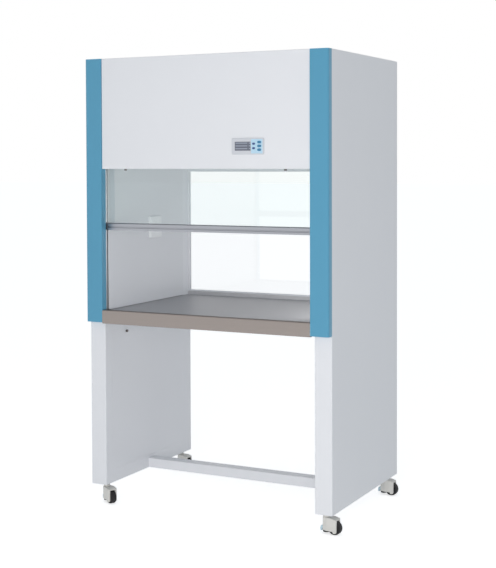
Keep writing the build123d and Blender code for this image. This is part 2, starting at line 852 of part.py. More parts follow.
def scroll_point(step, inset):
    """A point of the blower's spiral, from the tongue round to the outlet."""
    share = step / scroll_points
    angle = radians(tongue_angle - share * scroll_sweep)
    reach = scroll_start + share * scroll_growth - inset
    return (blower_y + reach * cos(angle), blower_z + reach * sin(angle))


def scroll_face(x, inset):
    """The spiral's outline as a face across the shaft, drawn smaller all round by the inset."""
    foot = deck_z + case_wall - inset
    with BuildSketch(Plane.YZ.offset(x)) as face:
        with BuildLine():
            Spline(*[scroll_point(step, inset) for step in range(scroll_points + 1)])
            Polyline(
                scroll_point(scroll_points, inset),
                (outlet_y[1] - inset, foot),
                (outlet_y[0] + inset, foot),
                scroll_point(0, inset),
            )
        make_face()
    return face.sketch


# Blower housing: spiral shell, open inlet on both sides, outlet standing on the deck.
with BuildPart() as blower_housing:
    extrude(scroll_face(-blower_width / 2, 0), amount=blower_width)
    extrude(
        scroll_face(-blower_width / 2 + sheet, sheet),
        amount=blower_width - 2 * sheet,
        mode=Mode.SUBTRACT,
    )
    with Locations(Plane((0, blower_y, blower_z), z_dir=(1, 0, 0))):
        Cylinder(inlet_radius, 2 * blower_width, mode=Mode.SUBTRACT)
save(blower_housing.part, "blower_housing")

# Impeller: two end rings and a middle disc joined by forward-leaning blades, pressed on its shaft.
half_impeller = impeller_length / 2
motor_x = (-blower_width / 2 - motor_gap - motor_length, -blower_width / 2 - motor_gap)
with BuildPart() as impeller:
    ring_x = (-half_impeller, -impeller_ring / 2, half_impeller - impeller_ring)
    for x in ring_x:
        with BuildSketch(Plane.YZ.offset(x)):
            with Locations((blower_y, blower_z)):
                Circle(impeller_radius)
                if x != ring_x[1]:
                    Circle(impeller_radius - blade_depth, mode=Mode.SUBTRACT)
        extrude(amount=impeller_ring)
    with BuildSketch(Plane.YZ.offset(-half_impeller)):
        with Locations((blower_y, blower_z)):
            with PolarLocations(impeller_radius - blade_depth / 2, blade_count):
                Rectangle(blade_depth, blade_thickness, rotation=blade_lean)
    extrude(amount=impeller_length)
    with BuildSketch(Plane.YZ.offset(-2 * hub_radius)):
        with Locations((blower_y, blower_z)):
            Circle(hub_radius)
    extrude(amount=4 * hub_radius)
    with BuildSketch(Plane.YZ.offset(motor_x[0] + shaft_end_gap)):
        with Locations((blower_y, blower_z)):
            Circle(shaft_radius)
    extrude(amount=-motor_x[0] - shaft_end_gap)
save(impeller.part, "impeller")

# Motor beside the housing, on a foot that stands on the deck, bored for the impeller's shaft.
with BuildPart() as blower_motor:
    with BuildSketch(Plane.YZ.offset(motor_x[0])):
        with Locations((blower_y, blower_z)):
            Circle(motor_radius)
    extrude(amount=motor_length)
    fillet(blower_motor.edges().filter_by(GeomType.CIRCLE), 6)
    foot_x = (motor_x[0] + shaft_end_gap, motor_x[0] + shaft_end_gap + motor_foot[0])
    foot_y = (blower_y - motor_foot[1] / 2, blower_y + motor_foot[1] / 2)
    block(foot_x, foot_y, (deck_z + case_wall, blower_z - motor_radius / 2))
    with BuildSketch(Plane.YZ.offset(motor_x[0] + shaft_end_gap / 2)):
        with Locations((blower_y, blower_z)):
            Circle(shaft_radius + running_gap)
    extrude(amount=motor_length, mode=Mode.SUBTRACT)
save(blower_motor.part, "blower_motor")

# Prefilter: a card frame round a pad, hung under the intake slots.
with BuildPart() as prefilter:
    pad_z = (roof_under - prefilter_size[2], roof_under)
    pad_x = prefilter_size[0] / 2
    pad_y = (louvre_centre_y - prefilter_size[1] / 2, louvre_centre_y + prefilter_size[1] / 2)
    block((-pad_x, pad_x), pad_y, pad_z)
    for z in ((pad_z[0] - 1, pad_z[0] + prefilter_recess), (pad_z[1] - prefilter_recess, pad_z[1] + 1)):
        block(
            (-pad_x + prefilter_frame, pad_x - prefilter_frame),
            (pad_y[0] + prefilter_frame, pad_y[1] - prefilter_frame),
            z,
            mode=Mode.SUBTRACT,
        )
save(prefilter.part, "prefilter")

# ---------------------------------------------------------------- lamps
with BuildPart() as lamp_fitting:
    fit_x = fitting_length / 2
    fit_y = (lamp_y - fitting_depth / 2, lamp_y + fitting_depth / 2)
    block((-fit_x, fit_x), fit_y, (ceiling - fitting_height, ceiling))
    chamfer(lamp_fitting.edges().filter_by(Axis.X).group_by(Axis.Z)[0], 4)
    for side in (-1, 1):
        for lamp in (-1, 1):
            x = sorted((side * lamp_length / 2, side * (lamp_length / 2 + holder_length)))
            y = lamp_y + lamp * lamp_spacing / 2
            block(
                x,
                (y - lamp_radius - 2, y + lamp_radius + 2),
                (ceiling - holder_drop, ceiling - fitting_height),
            )
save(lamp_fitting.part, "lamp_fitting")

with BuildPart() as lamp_tubes:
    for lamp in (-1, 1):
        tube_axis = (lamp_y + lamp * lamp_spacing / 2, ceiling - lamp_drop)
        with BuildSketch(Plane.YZ.offset(-lamp_length / 2)):
            with Locations(tube_axis):
                Circle(lamp_radius)
        extrude(amount=lamp_length)
save(lamp_tubes.part, "lamp_tubes")

# ---------------------------------------------------------------- control panel
control_plane = Plane((control_left, panel_front, control_bottom), x_dir=(1, 0, 0), z_dir=(0, -1, 0))
control_middle = (control_size[0] / 2, control_size[1] / 2)
window_middle = (window_offset[0] + window_size[0] / 2, window_offset[1] + window_size[1] / 2)
with BuildPart() as control_panel:
    with BuildSketch(control_plane):
        with Locations(control_middle):
            RectangleRounded(control_size[0], control_size[1], control_radius)
    extrude(amount=control_proud)
    chamfer(control_panel.faces().sort_by(Axis.Y)[0].edges(), 1)
    body = 2 * (control_rim + seam)
    with BuildSketch(control_plane):
        with Locations(control_middle):
            Rectangle(control_size[0] - body, control_size[1] - body)
    extrude(amount=-control_depth)
    hollow = body + 2 * control_wall
    with BuildSketch(control_plane.offset(control_proud - control_face)):
        with Locations(control_middle):
            Rectangle(control_size[0] - hollow, control_size[1] - hollow)
    extrude(amount=-control_depth - control_proud, mode=Mode.SUBTRACT)
    with BuildSketch(control_plane.offset(control_proud - window_recess)):
        with Locations(window_middle):
            Rectangle(window_size[0], window_size[1])
    extrude(amount=control_proud, mode=Mode.SUBTRACT)
    for key_x, key_z, key_width, key_height in keys.values():
        with BuildSketch(control_plane.offset(-control_depth)):
            with Locations((key_x, key_z)):
                SlotOverall(key_width + 2 * key_gap, key_height + 2 * key_gap)
        extrude(amount=control_depth + 2 * control_proud, mode=Mode.SUBTRACT)
save(control_panel.part, "control_panel")

with BuildPart() as display_window:
    with BuildSketch(control_plane.offset(control_proud - window_recess)):
        with Locations(window_middle):
            Rectangle(window_size[0] - 2 * window_gap, window_size[1] - 2 * window_gap)
    extrude(amount=window_recess)
save(display_window.part, "display_window")

flange_top = control_proud - control_face
for name, (key_x, key_z, key_width, key_height) in keys.items():
    with BuildPart() as key:
        with BuildSketch(control_plane.offset(flange_top)):
            with Locations((key_x, key_z)):
                SlotOverall(key_width, key_height)
        extrude(amount=control_face + key_proud)
        with BuildSketch(control_plane.offset(flange_top)):
            with Locations((key_x, key_z)):
                SlotOverall(key_width + key_flange, key_height + key_flange)
        extrude(amount=-key_flange)
        with BuildSketch(control_plane.offset(flange_top - key_flange)):
            with Locations((key_x, key_z)):
                Circle(key_stem_radius)
        stem_end = -control_depth + key_room
        extrude(amount=stem_end - flange_top + key_flange)
    save(key.part, name)

# ---------------------------------------------------------------- wall socket
with BuildPart() as wall_socket:
    with BuildSketch(Plane.YZ.offset(-inner_x)):
        with Locations((socket_y, socket_height)):
            RectangleRounded(socket_size, socket_size, socket_radius)
    extrude(amount=socket_proud)
    chamfer(wall_socket.faces().sort_by(Axis.X)[-1].edges(), 2)
    with BuildSketch(Plane.YZ.offset(-inner_x)):
        with Locations((socket_y, socket_height)):
            Rectangle(socket_box, socket_box)
    extrude(amount=-socket_box_depth)
    # Openings for plugs: two flat blades above, three angled ones below.
    with BuildSketch(Plane.YZ.offset(-inner_x + socket_proud)):
        with Locations((socket_y, socket_height)):
            with Locations((-6.5, 17), (6.5, 17)):
                Rectangle(2, 8)
            with Locations((0, -5)):
                Rectangle(2, 8)
            with Locations((-8, -19)):
                Rectangle(2, 8, rotation=-30)
            with Locations((8, -19)):
                Rectangle(2, 8, rotation=30)
    extrude(amount=-2 * socket_proud, mode=Mode.SUBTRACT)
save(wall_socket.part, "wall_socket")

# ---------------------------------------------------------------- panel screws
with BuildPart() as panel_screws:
    for x in (-panel_screw_x, panel_screw_x):
        with Locations(Plane((x, panel_screw_y, panel_bottom), z_dir=(0, 0, -1))):
            Cylinder(screw_head_radius, screw_head_height, align=(Align.CENTER, Align.CENTER, Align.MIN))
        with Locations((x, panel_screw_y, panel_bottom)):
            Cylinder(screw_shank_radius, screw_shank_length, align=(Align.CENTER, Align.CENTER, Align.MIN))
    for side in (-1, 1):
        seat = (side * inner_x, wall_screw_y, wall_screw_z)
        with Locations(Plane(seat, z_dir=(-side, 0, 0))):
            Cylinder(screw_head_radius, screw_head_height, align=(Align.CENTER, Align.CENTER, Align.MIN))
        with Locations(Plane(seat, z_dir=(side, 0, 0))):
            Cylinder(screw_shank_radius, screw_shank_length, align=(Align.CENTER, Align.CENTER, Align.MIN))
save(panel_screws.part, "panel_screws")

# ---------------------------------------------------------------- casters
# One caster is made with its swivel axis on Z and its wheel ahead along +X, then set in place.
with BuildPart() as caster_stems:
    for side in (-1, 1):
        for y in caster_ys:
            with Locations((side * caster_x, y, caster_height)):
                Cylinder(stem_radius, stem_above, align=(Align.CENTER, Align.CENTER, Align.MIN))
                Cylinder(flange_radius, flange_thickness, align=(Align.CENTER, Align.CENTER, Align.MAX))
            with Locations((side * caster_x, y, boss_top + seam)):
                neck = caster_height - boss_top - seam
                Cylinder(neck_radius, neck, align=(Align.CENTER, Align.CENTER, Align.MIN))
            with Locations((side * caster_x, y, pin_bottom)):
                pin = caster_height - pin_bottom
                Cylinder(pin_radius, pin, align=(Align.CENTER, Align.CENTER, Align.MIN))
save(caster_stems.part, "caster_stems")

hood_half = hood_width / 2


def hood_body():
    """Moulded body over the wheel, open in front and below, with a boss for the stem and an axle."""
    lobe_z = hood_underside - lobe_depth
    with BuildPart() as hood:
        with BuildSketch(Plane.XY.offset(lobe_z)):
            with BuildLine():
                FilletPolyline(
                    (-hood_rear, 0),
                    (-hood_rear, -hood_rear_half),
                    (hood_rear, -hood_half),
                    (hood_front, -hood_half),
                    (hood_front, 0),
                    radius=[7, 12, 5],
                )
                mirror(about=Plane.XZ)
            make_face()
        extrude(amount=hood_top - lobe_z)
        with BuildSketch(Plane.XZ.offset(-hood_width)):
            with BuildLine():
                FilletPolyline(
                    (-hood_rear - 1, hood_underside),
                    (-hood_rear - 1, hood_top),
                    (hood_front - 20, hood_top),
                    (hood_front, hood_nose_top),
                    (hood_front, lobe_z + 4),
                    (hood_front - 3, lobe_z),
                    (hood_front - lobe_length + 2, lobe_z),
                    (hood_front - lobe_length - 2, hood_underside),
                    radius=[1, 5, 12, 5, 1.5, 1.5, 2, 2],
                    close=True,
                )
            make_face()
        extrude(amount=2 * hood_width, mode=Mode.INTERSECT)
        with Locations((0, 0, hood_top - 4)):
            boss = boss_top - hood_top + 4
            Cylinder(boss_radius, boss, align=(Align.CENTER, Align.CENTER, Align.MIN))
        # Room for the wheel, open to the front and below.
        pocket = wheel_radius + wheel_gap
        pocket_half = wheel_width / 2 + wheel_side_gap
        with BuildSketch(Plane.XZ.offset(-pocket_half)):
            with Locations((caster_trail, wheel_radius)):
                Circle(pocket)
            with Locations((caster_trail + pocket, wheel_radius)):
                Rectangle(2 * pocket, 2 * pocket)
            with Locations((caster_trail, wheel_radius - pocket)):
                Rectangle(2 * pocket, 2 * pocket)
        extrude(amount=2 * pocket_half, mode=Mode.SUBTRACT)
        with Locations((0, 0, pin_bottom - seam)):
            Cylinder(
                pin_radius + running_gap,
                boss_top,
                align=(Align.CENTER, Align.CENTER, Align.MIN),
                mode=Mode.SUBTRACT,
            )
        # Room for the foot's spindle, and a notch at the rear for its lever.
        with Locations((0, 0, 0)):
            Cylinder(
                spindle_radius + running_gap,
                spindle_top + seam,
                align=(Align.CENTER, Align.CENTER, Align.MIN),
                mode=Mode.SUBTRACT,
            )
        notch = lever_width / 2 + lever_gap
        block((-2 * hood_rear, 0), (-notch, notch), (0, lever_top + lever_gap), mode=Mode.SUBTRACT)
        with Locations(Plane((caster_trail, 0, wheel_radius), z_dir=(0, 1, 0))):
            Cylinder(wheel_axle_radius, 2 * pocket_half + 2)
        rivet = (hood_front - lobe_length / 2, 0, hood_underside + 3)
        with Locations(Plane(rivet, z_dir=(0, 1, 0))):
            Cylinder(rivet_radius, hood_width + 1)
            Cylinder(rivet_radius + 1, 2 * pocket_half, mode=Mode.SUBTRACT)
    return hood.part


def wheel_body():
    """Rubber-tyred wheel, a little narrower at the hub than at the tread."""
    with BuildPart() as wheel:
        with BuildSketch(Plane.XY):
            with BuildLine():
                half = wheel_width / 2
                bore = wheel_axle_radius + running_gap
                FilletPolyline(
                    (bore, -half),
                    (0.35 * wheel_radius, -half),
                    (0.4 * wheel_radius, -half + 2),
                    (0.7 * wheel_radius, -half + 2),
                    (0.75 * wheel_radius, -half),
                    (wheel_radius, -half),
                    (wheel_radius, half),
                    (0.75 * wheel_radius, half),
                    (0.7 * wheel_radius, half - 2),
                    (0.4 * wheel_radius, half - 2),
                    (0.35 * wheel_radius, half),
                    (bore, half),
                    radius=[0.5, 0.5, 0.5, 0.5, wheel_round, wheel_round, 0.5, 0.5, 0.5, 0.5],
                )
                Line((bore, half), (bore, -half))
            make_face()
        revolve(axis=Axis.Y)
    return Pos(caster_trail, 0, wheel_radius) * wheel.part


def foot_body():
    """Levelling foot: a pad on a spindle, screwed down by a lever that reaches out behind."""
    with BuildPart() as foot:
        with Locations((0, 0, foot_gap)):
            Cylinder(foot_radius, foot_thickness, align=(Align.CENTER, Align.CENTER, Align.MIN))
        fillet(foot.edges().filter_by(GeomType.CIRCLE), 1.5)
        with Locations((0, 0, foot_gap + foot_thickness - 1)):
            spindle = spindle_top - foot_gap - foot_thickness + 1
            Cylinder(spindle_radius, spindle, align=(Align.CENTER, Align.CENTER, Align.MIN))
        with BuildSketch(Plane.XZ.offset(-lever_width / 2)):
            with BuildLine():
                lever_low = lever_top - lever_thickness
                Polyline(
                    (0, lever_low),
                    (-hood_rear - 4, lever_low),
                    (-hood_rear - 6, foot_gap + 3),
                    (-lever_reach + 2, foot_gap + 3),
                )
                Spline(
                    (-lever_reach + 2, foot_gap + 3),
                    (-lever_reach, lever_low),
                    (-lever_reach + 3, lever_top),
                )
                Line((-lever_reach + 3, lever_top), (0, lever_top))
                Line((0, lever_top), (0, lever_low))
            make_face()
        extrude(amount=lever_width)
    return foot.part


hood = hood_body()
wheel = wheel_body()
foot = foot_body()
for corner, heading in caster_headings.items():
    side = 1 if corner.endswith("right") else -1
    y = caster_ys[0] if corner.startswith("front") else caster_ys[1]
    ahead = (sin(radians(heading)), -cos(radians(heading)), 0)
    place = Plane((side * caster_x, y, 0), x_dir=ahead, z_dir=(0, 0, 1)).location
    save(hood.moved(place), f"{corner}_caster_hood")
    save(wheel.moved(place), f"{corner}_caster_wheel")
    save(foot.moved(place), f"{corner}_levelling_foot")
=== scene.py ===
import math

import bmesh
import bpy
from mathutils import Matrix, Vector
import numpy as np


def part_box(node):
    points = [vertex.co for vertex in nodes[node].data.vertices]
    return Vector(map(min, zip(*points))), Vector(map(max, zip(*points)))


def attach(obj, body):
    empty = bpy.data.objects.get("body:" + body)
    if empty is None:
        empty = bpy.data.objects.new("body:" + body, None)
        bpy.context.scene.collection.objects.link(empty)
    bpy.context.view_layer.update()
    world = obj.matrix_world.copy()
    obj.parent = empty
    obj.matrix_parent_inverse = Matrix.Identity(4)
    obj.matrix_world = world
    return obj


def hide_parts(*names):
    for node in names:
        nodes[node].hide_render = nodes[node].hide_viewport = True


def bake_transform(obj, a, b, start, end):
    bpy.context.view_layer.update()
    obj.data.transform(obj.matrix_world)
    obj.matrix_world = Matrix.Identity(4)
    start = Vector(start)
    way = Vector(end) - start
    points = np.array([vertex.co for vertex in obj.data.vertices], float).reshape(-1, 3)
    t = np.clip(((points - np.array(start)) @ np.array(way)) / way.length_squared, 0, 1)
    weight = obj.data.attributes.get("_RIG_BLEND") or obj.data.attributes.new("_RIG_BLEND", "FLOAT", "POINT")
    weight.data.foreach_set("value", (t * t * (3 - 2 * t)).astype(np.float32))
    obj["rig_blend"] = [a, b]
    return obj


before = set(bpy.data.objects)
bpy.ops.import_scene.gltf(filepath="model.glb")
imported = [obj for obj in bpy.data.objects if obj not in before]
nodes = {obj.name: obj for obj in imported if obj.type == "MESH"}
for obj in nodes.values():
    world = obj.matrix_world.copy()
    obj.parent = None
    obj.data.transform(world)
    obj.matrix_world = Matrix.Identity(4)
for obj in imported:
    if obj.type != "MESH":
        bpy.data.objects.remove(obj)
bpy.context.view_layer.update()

# %% [markdown]
# # A laminar flow hood, dressed for the camera
# The hood is a clean bench of folded sheet steel. A fan in its head pushes air down through a
# filter, over a steel worktop and out past a glass sash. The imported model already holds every
# plate, pane and wheel in its true place, in metres. So this lesson is mostly about surfaces:
# powder coat, brushed steel, glass and moulded plastic. A few forms that follow a rule, such as
# the pleats of the filter, are made with Geometry Nodes.

MM = 0.001
print("pieces from the CAD model:", len(nodes))

# %% [markdown]
# ## Colours
# A colour is picked as an sRGB hex value, as it is seen on a screen. Cycles works in linear
# light, so one function turns the hex value into linear numbers.

# %% Hex colours to linear light
def linear(hex_colour, alpha=1.0):
    """The linear RGBA of an sRGB hex colour."""
    channels = []
    for start in (0, 2, 4):
        value = int(hex_colour[start:start + 2], 16) / 255
        channels.append(value / 12.92 if value <= 0.04045 else ((value + 0.055) / 1.055) ** 2.4)
    return (*channels, alpha)


print("mid grey in linear light:", round(linear("808080")[0], 3))

# %% [markdown]
# ## The camera
# The view is from the right, about 4.8 m away, and from a little under the keys' height. The
# upright edges stay almost upright, because the camera is held nearly level and its film is
# shifted down. Tipping the whole camera would make them lean together.

# %% The camera
CAMERA_PLACE = (2.1557, -4.2617, 1.3145)
CAMERA_YAW = 0.4758
CAMERA_PITCH = -0.0308
CAMERA_ROLL = -0.0035
SENSOR = 36.0
FOCAL_SHARE = 1235.64 / 568  # focal length over the longer side of the frame

camera_data = bpy.data.cameras.new("bench_camera")
camera_data.sensor_width = SENSOR
camera_data.lens = SENSOR * FOCAL_SHARE
camera_data.shift_x = 0.0235
camera_data.shift_y = -0.15
camera = bpy.data.objects.new("bench_camera", camera_data)
bpy.context.scene.collection.objects.link(camera)
turn = Matrix.Rotation(CAMERA_YAW, 4, "Z") @ Matrix.Rotation(math.pi / 2 + CAMERA_PITCH, 4, "X")
camera.matrix_world = Matrix.Translation(CAMERA_PLACE) @ turn @ Matrix.Rotation(CAMERA_ROLL, 4, "Z")
bpy.context.scene.camera = camera
print("lens in mm:", round(camera_data.lens, 2))

# %% [markdown]
# ## One helper for every node
# Worlds, materials and Geometry Nodes are all trees of nodes. One small function adds a node of
# any kind with its values, its links and its own settings, so that a tree reads as a list.

# %% Add a node
def add(tree, kind, values=None, links=None, **settings):
    """Adds a node. values and links are by input name or number; settings are its own options."""
    made = tree.nodes.new(kind)
    for key, value in settings.items():
        setattr(made, key, value)
    for key, value in (values or {}).items():
        made.inputs[key].default_value = value
    for key, output in (links or {}).items():
        tree.links.new(output, made.inputs[key])
    return made


print("node helper ready")

# %% [markdown]
# ## The white room
# A white room with soft light lets the colours show as they are. The world lights everything
# evenly. The camera, mirrors and panes see plain white around the bench, but that white throws
# no light of its own: the Light Path node keeps the two apart.

# %% The white room
WORLD_LIGHT = 0.47
ROOM_TINT = (0.92, 0.975, 1.02, 1)  # slightly cool, against a slightly warm lamp

scene = bpy.context.scene
scene.view_settings.view_transform = "Standard"


def seen_not_lit(tree):
    """1 for what the camera, a reflection or a pane sees, and 0 for light that falls on things."""
    path = add(tree, "ShaderNodeLightPath")
    mirrored = add(tree, "ShaderNodeMath", operation="MAXIMUM",
                   links={0: path.outputs["Is Camera Ray"], 1: path.outputs["Is Glossy Ray"]})
    seen = add(tree, "ShaderNodeMath", operation="MAXIMUM",
               links={0: mirrored.outputs[0], 1: path.outputs["Is Transmission Ray"]})
    return seen.outputs[0]


world = bpy.data.worlds.new("white_room")
world.use_nodes = True
room = world.node_tree
room.nodes.clear()
even = add(room, "ShaderNodeBackground", {"Color": ROOM_TINT, "Strength": WORLD_LIGHT})
plain_white = add(room, "ShaderNodeBackground", {"Color": (1, 1, 1, 1), "Strength": 1.0})
choice = add(room, "ShaderNodeMixShader",
             links={0: seen_not_lit(room), 1: even.outputs[0], 2: plain_white.outputs[0]})
add(room, "ShaderNodeOutputWorld", links={"Surface": choice.outputs[0]})
scene.world = world
print("world light:", WORLD_LIGHT)

# %% [markdown]
# ## The floor
# The floor is a pale matt sheet that takes the shadow of the bench. A matt sheet alone would look
# grey under this light, so a little light of its own is added, and more of it for the eye than
# for the bench above. It reaches far enough to meet the white of the room at the horizon.

# %% The floor
FLOOR_REACH = 60.0
FLOOR_GLOW, FLOOR_LIFT = 0.12, 0.6  # what lights the bench, and what is seen

floor_mesh = bpy.data.meshes.new("studio_floor")
reach = FLOOR_REACH
floor_mesh.from_pydata([(-reach, -reach, 0), (reach, -reach, 0), (reach, reach, 0), (-reach, reach, 0)], [],
                       [(0, 1, 2, 3)])
floor = bpy.data.objects.new("studio_floor", floor_mesh)
scene.collection.objects.link(floor)

floor_paint = bpy.data.materials.new("matt_white_floor")
floor_paint.use_nodes = True
tree = floor_paint.node_tree
tree.nodes.clear()
matt = add(tree, "ShaderNodeBsdfDiffuse", {"Color": (0.9, 0.9, 0.9, 1)})
glow = add(tree, "ShaderNodeMapRange", {"To Min": FLOOR_GLOW, "To Max": FLOOR_LIFT},
           {"Value": seen_not_lit(tree)})
lift = add(tree, "ShaderNodeEmission", links={"Strength": glow.outputs[0]})
both = add(tree, "ShaderNodeAddShader", links={0: matt.outputs[0], 1: lift.outputs[0]})
add(tree, "ShaderNodeOutputMaterial", links={"Surface": both.outputs[0]})
floor_mesh.materials.append(floor_paint)
print("floor reaches", FLOOR_REACH, "m each way")

# %% [markdown]
# ## Two lamps
# One large soft lamp beside the camera makes the front faces brighter than the right wall, and
# reaches the inner wall through the opening. A small fill stands in for the light that a bright
# worktop throws at the left inner wall. Neither lamp shows in a reflection.

# %% The lamps
KEY_PLACE = (1.35, -4.0, 0.8)
KEY_AIM = (0.0, 0.0, 0.7)
KEY_SIZE = 2.4
KEY_POWER = 72.0
KEY_TINT = (1.04, 1.0, 0.97)
key_data = bpy.data.lights.new("key_lamp_light", "AREA")
key_data.shape = "DISK"
key_data.size = KEY_SIZE
key_data.energy = KEY_POWER
key_data.color = KEY_TINT
key_light = bpy.data.objects.new("key_lamp_light", key_data)
key_light.location = KEY_PLACE
key_light.rotation_euler = (Vector(KEY_AIM) - Vector(KEY_PLACE)).to_track_quat("-Z", "Y").to_euler()
key_light.visible_glossy = False
scene.collection.objects.link(key_light)

FILL_PLACE = (0.4, 0.02, 0.86)
FILL_SIZE = (0.18, 0.5)
FILL_POWER = 0.9
fill_data = bpy.data.lights.new("chamber_fill", "AREA")
fill_data.shape = "RECTANGLE"
fill_data.size, fill_data.size_y = FILL_SIZE
fill_data.energy = FILL_POWER
fill_light = bpy.data.objects.new("chamber_fill", fill_data)
fill_light.location = FILL_PLACE
fill_light.rotation_euler = (0, math.pi / 2, 0)
fill_light.visible_camera = False
fill_light.visible_glossy = False
fill_light.visible_transmission = False
scene.collection.objects.link(fill_light)
print("key lamp in watts:", KEY_POWER, "fill in watts:", FILL_POWER)

# %% [markdown]
# ## How a material starts
# Every finish below starts the same way: a Principled shader and the Object coordinates. These
# are the true place of a point on the bench, in metres, so one pattern runs on across a seam and
# keeps its real size. A texture scale is one over the size of its features in metres.

# %% Start a material
def start_material(name, colour, roughness, metallic=0.0, ior=1.5):
    """A Principled shader with its plain values, and the Object coordinates to build on."""
    material = bpy.data.materials.new(name)
    material.use_nodes = True
    tree = material.node_tree
    tree.nodes.clear()
    shader = add(tree, "ShaderNodeBsdfPrincipled",
                 {"Base Color": linear(colour), "Roughness": roughness, "Metallic": metallic, "IOR": ior})
    add(tree, "ShaderNodeOutputMaterial", links={"Surface": shader.outputs["BSDF"]})
    place = add(tree, "ShaderNodeTexCoord").outputs["Object"]
    return material, tree, shader, place


def per_metre(period_mm):
    """The scale of a texture whose features are about period_mm across."""
    return 1000.0 / period_mm


def noise(tree, place, period_mm, detail=2.0, stretch=None):
    """Cloudy noise with features of period_mm. stretch draws it out along an axis."""
    if stretch:
        place = add(tree, "ShaderNodeMapping", {"Scale": stretch}, {"Vector": place}).outputs[0]
    sizes = {"Scale": per_metre(period_mm), "Detail": detail}
    return add(tree, "ShaderNodeTexNoise", sizes, {"Vector": place}).outputs[0]


COLOUR_A, COLOUR_B, COLOUR_OUT = 6, 7, 2  # a Mix node's sockets once it mixes colours


def two_tone(tree, shader, share, first, second):
    """Drives the base colour from one hex colour to another."""
    mixed = add(tree, "ShaderNodeMix", {COLOUR_A: linear(first), COLOUR_B: linear(second)}, {0: share},
                data_type="RGBA")
    tree.links.new(mixed.outputs[COLOUR_OUT], shader.inputs["Base Color"])


def rough_between(tree, shader, share, low, high):
    """Drives the roughness between two values."""
    spread = add(tree, "ShaderNodeMapRange", {"To Min": low, "To Max": high}, {"Value": share})
    tree.links.new(spread.outputs[0], shader.inputs["Roughness"])


def bumped(tree, shader, height, depth_mm, strength=1.0):
    """Raises the surface by a height of 0 to 1, which stands for depth_mm."""
    bump = add(tree, "ShaderNodeBump", {"Strength": strength, "Distance": depth_mm * MM}, {"Height": height})
    tree.links.new(bump.outputs[0], shader.inputs["Normal"])


print("helpers ready")

# %% [markdown]
# ## Powder coat
# Walls, columns and panels are steel sheet under baked polyester powder. The powder melts into a
# skin that is never quite flat: it keeps a soft waviness, the orange peel, 2 to 3 mm across and a
# few microns deep. The coat is semi-gloss, so a lamp makes a broad dull sheen, and its tone
# drifts a little over a large sheet where the coat is thicker. The peel is drawn 8 mm across
# because a finer one falls between the pixels of a picture of the whole bench.

# %% Powder coat in three colours
PEEL_MM = 8.0
PEEL_DEPTH_MM = 0.02
DRIFT_MM = 420.0


def powder_coat(name, colour, thin_colour, roughness):
    """Baked polyester powder: orange peel, and a slow drift of tone and gloss."""
    material, tree, shader, place = start_material(name, colour, roughness)
    drift = noise(tree, place, DRIFT_MM, detail=3.0)
    two_tone(tree, shader, drift, thin_colour, colour)
    rough_between(tree, shader, drift, roughness - 0.05, roughness + 0.05)
    bumped(tree, shader, noise(tree, place, PEEL_MM, detail=1.0), PEEL_DEPTH_MM, 0.35)
    return material


white_coat = powder_coat("powder_coat_white", "e9ebef", "e3e5ea", 0.42)
grey_coat = powder_coat("powder_coat_pale_grey", "e4e6ea", "dfe1e6", 0.42)
blue_coat = powder_coat("powder_coat_sky_blue", "589dbd", "5298b8", 0.38)
print("powder coats:", white_coat.name, grey_coat.name, blue_coat.name)

# %% [markdown]
# ## Brushed stainless steel
# The worktop is stainless sheet, brushed from side to side with a belt, so that its grain runs
# along X. The brush leaves scratches of about 0.05 mm. They are drawn 1.2 mm wide and drawn out
# along the grain. A metal reflects less just short of a grazing view, and a brushed one loses
# more there in its own scratches, so the steel has a grey edge tint. The pan is brushed matt, and
# the scratches that are too fine to draw throw light all ways, so part of its shine is turned
# into plain diffuse grey. The apron in front keeps all of its shine. It is the same steel as the
# pan, but it is coloured darker and warmer: that tone is a painted reflection.

# %% Brushed stainless steel
BRUSH_MM = 1.2
SCRATCH_DEPTH_MM = 0.01
STEEL_EDGE = "a8a8aa"  # its tint at a grazing view
PAN_START = -320 * MM  # the pan lies behind this, the apron in front
PAN_METAL = 0.55  # what is left of the pan's shine


def mixed_colour(tree, share, first, second):
    """One colour or the other, by a share of 0 to 1. A colour is a hex value or an output."""
    values, links = {}, {0: share}
    for socket, colour in ((COLOUR_A, first), (COLOUR_B, second)):
        if isinstance(colour, str):
            values[socket] = linear(colour)
        else:
            links[socket] = colour
    return add(tree, "ShaderNodeMix", values, links, data_type="RGBA").outputs[COLOUR_OUT]


brushed_stainless, tree, shader, place = start_material("brushed_stainless_steel", "a19893", 0.42,
                                                        metallic=1.0)
shader.inputs["Specular Tint"].default_value = linear(STEEL_EDGE)
brushed = noise(tree, place, BRUSH_MM, detail=3.0, stretch=(0.02, 1.0, 1.0))
# The apron is the same steel as the pan; its darker, warmer colour is a painted reflection.
apron_painted_reflection = mixed_colour(tree, brushed, "98908c", "a19893")
pan = mixed_colour(tree, brushed, "c4c4c8", "cececf")
depth = add(tree, "ShaderNodeSeparateXYZ", links={0: place}).outputs["Y"]
on_pan = add(tree, "ShaderNodeMath", {1: PAN_START}, {0: depth}, operation="GREATER_THAN").outputs[0]
tree.links.new(mixed_colour(tree, on_pan, apron_painted_reflection, pan), shader.inputs["Base Color"])
shine = add(tree, "ShaderNodeMapRange", {"To Min": 1.0, "To Max": PAN_METAL}, {"Value": on_pan})
tree.links.new(shine.outputs[0], shader.inputs["Metallic"])
rough_between(tree, shader, brushed, 0.36, 0.48)
bumped(tree, shader, brushed, SCRATCH_DEPTH_MM, 0.3)
print("worktop steel:", brushed_stainless.name)

# %% [markdown]
# ## Other metals
# The handle and guides are extruded aluminium, etched and anodised, which gives an even satin
# with faint lines along the length of the extrusion. The fan case is galvanised sheet, whose zinc
# froze in flat crystals, the spangle, 10 mm across. The clamps, stems and cables are zinc-plated
# steel, and the weights are cast iron under grey paint.

# %% Other metals
SPANGLE_MM = 10.0
EXTRUSION_LINE_MM = 1.6


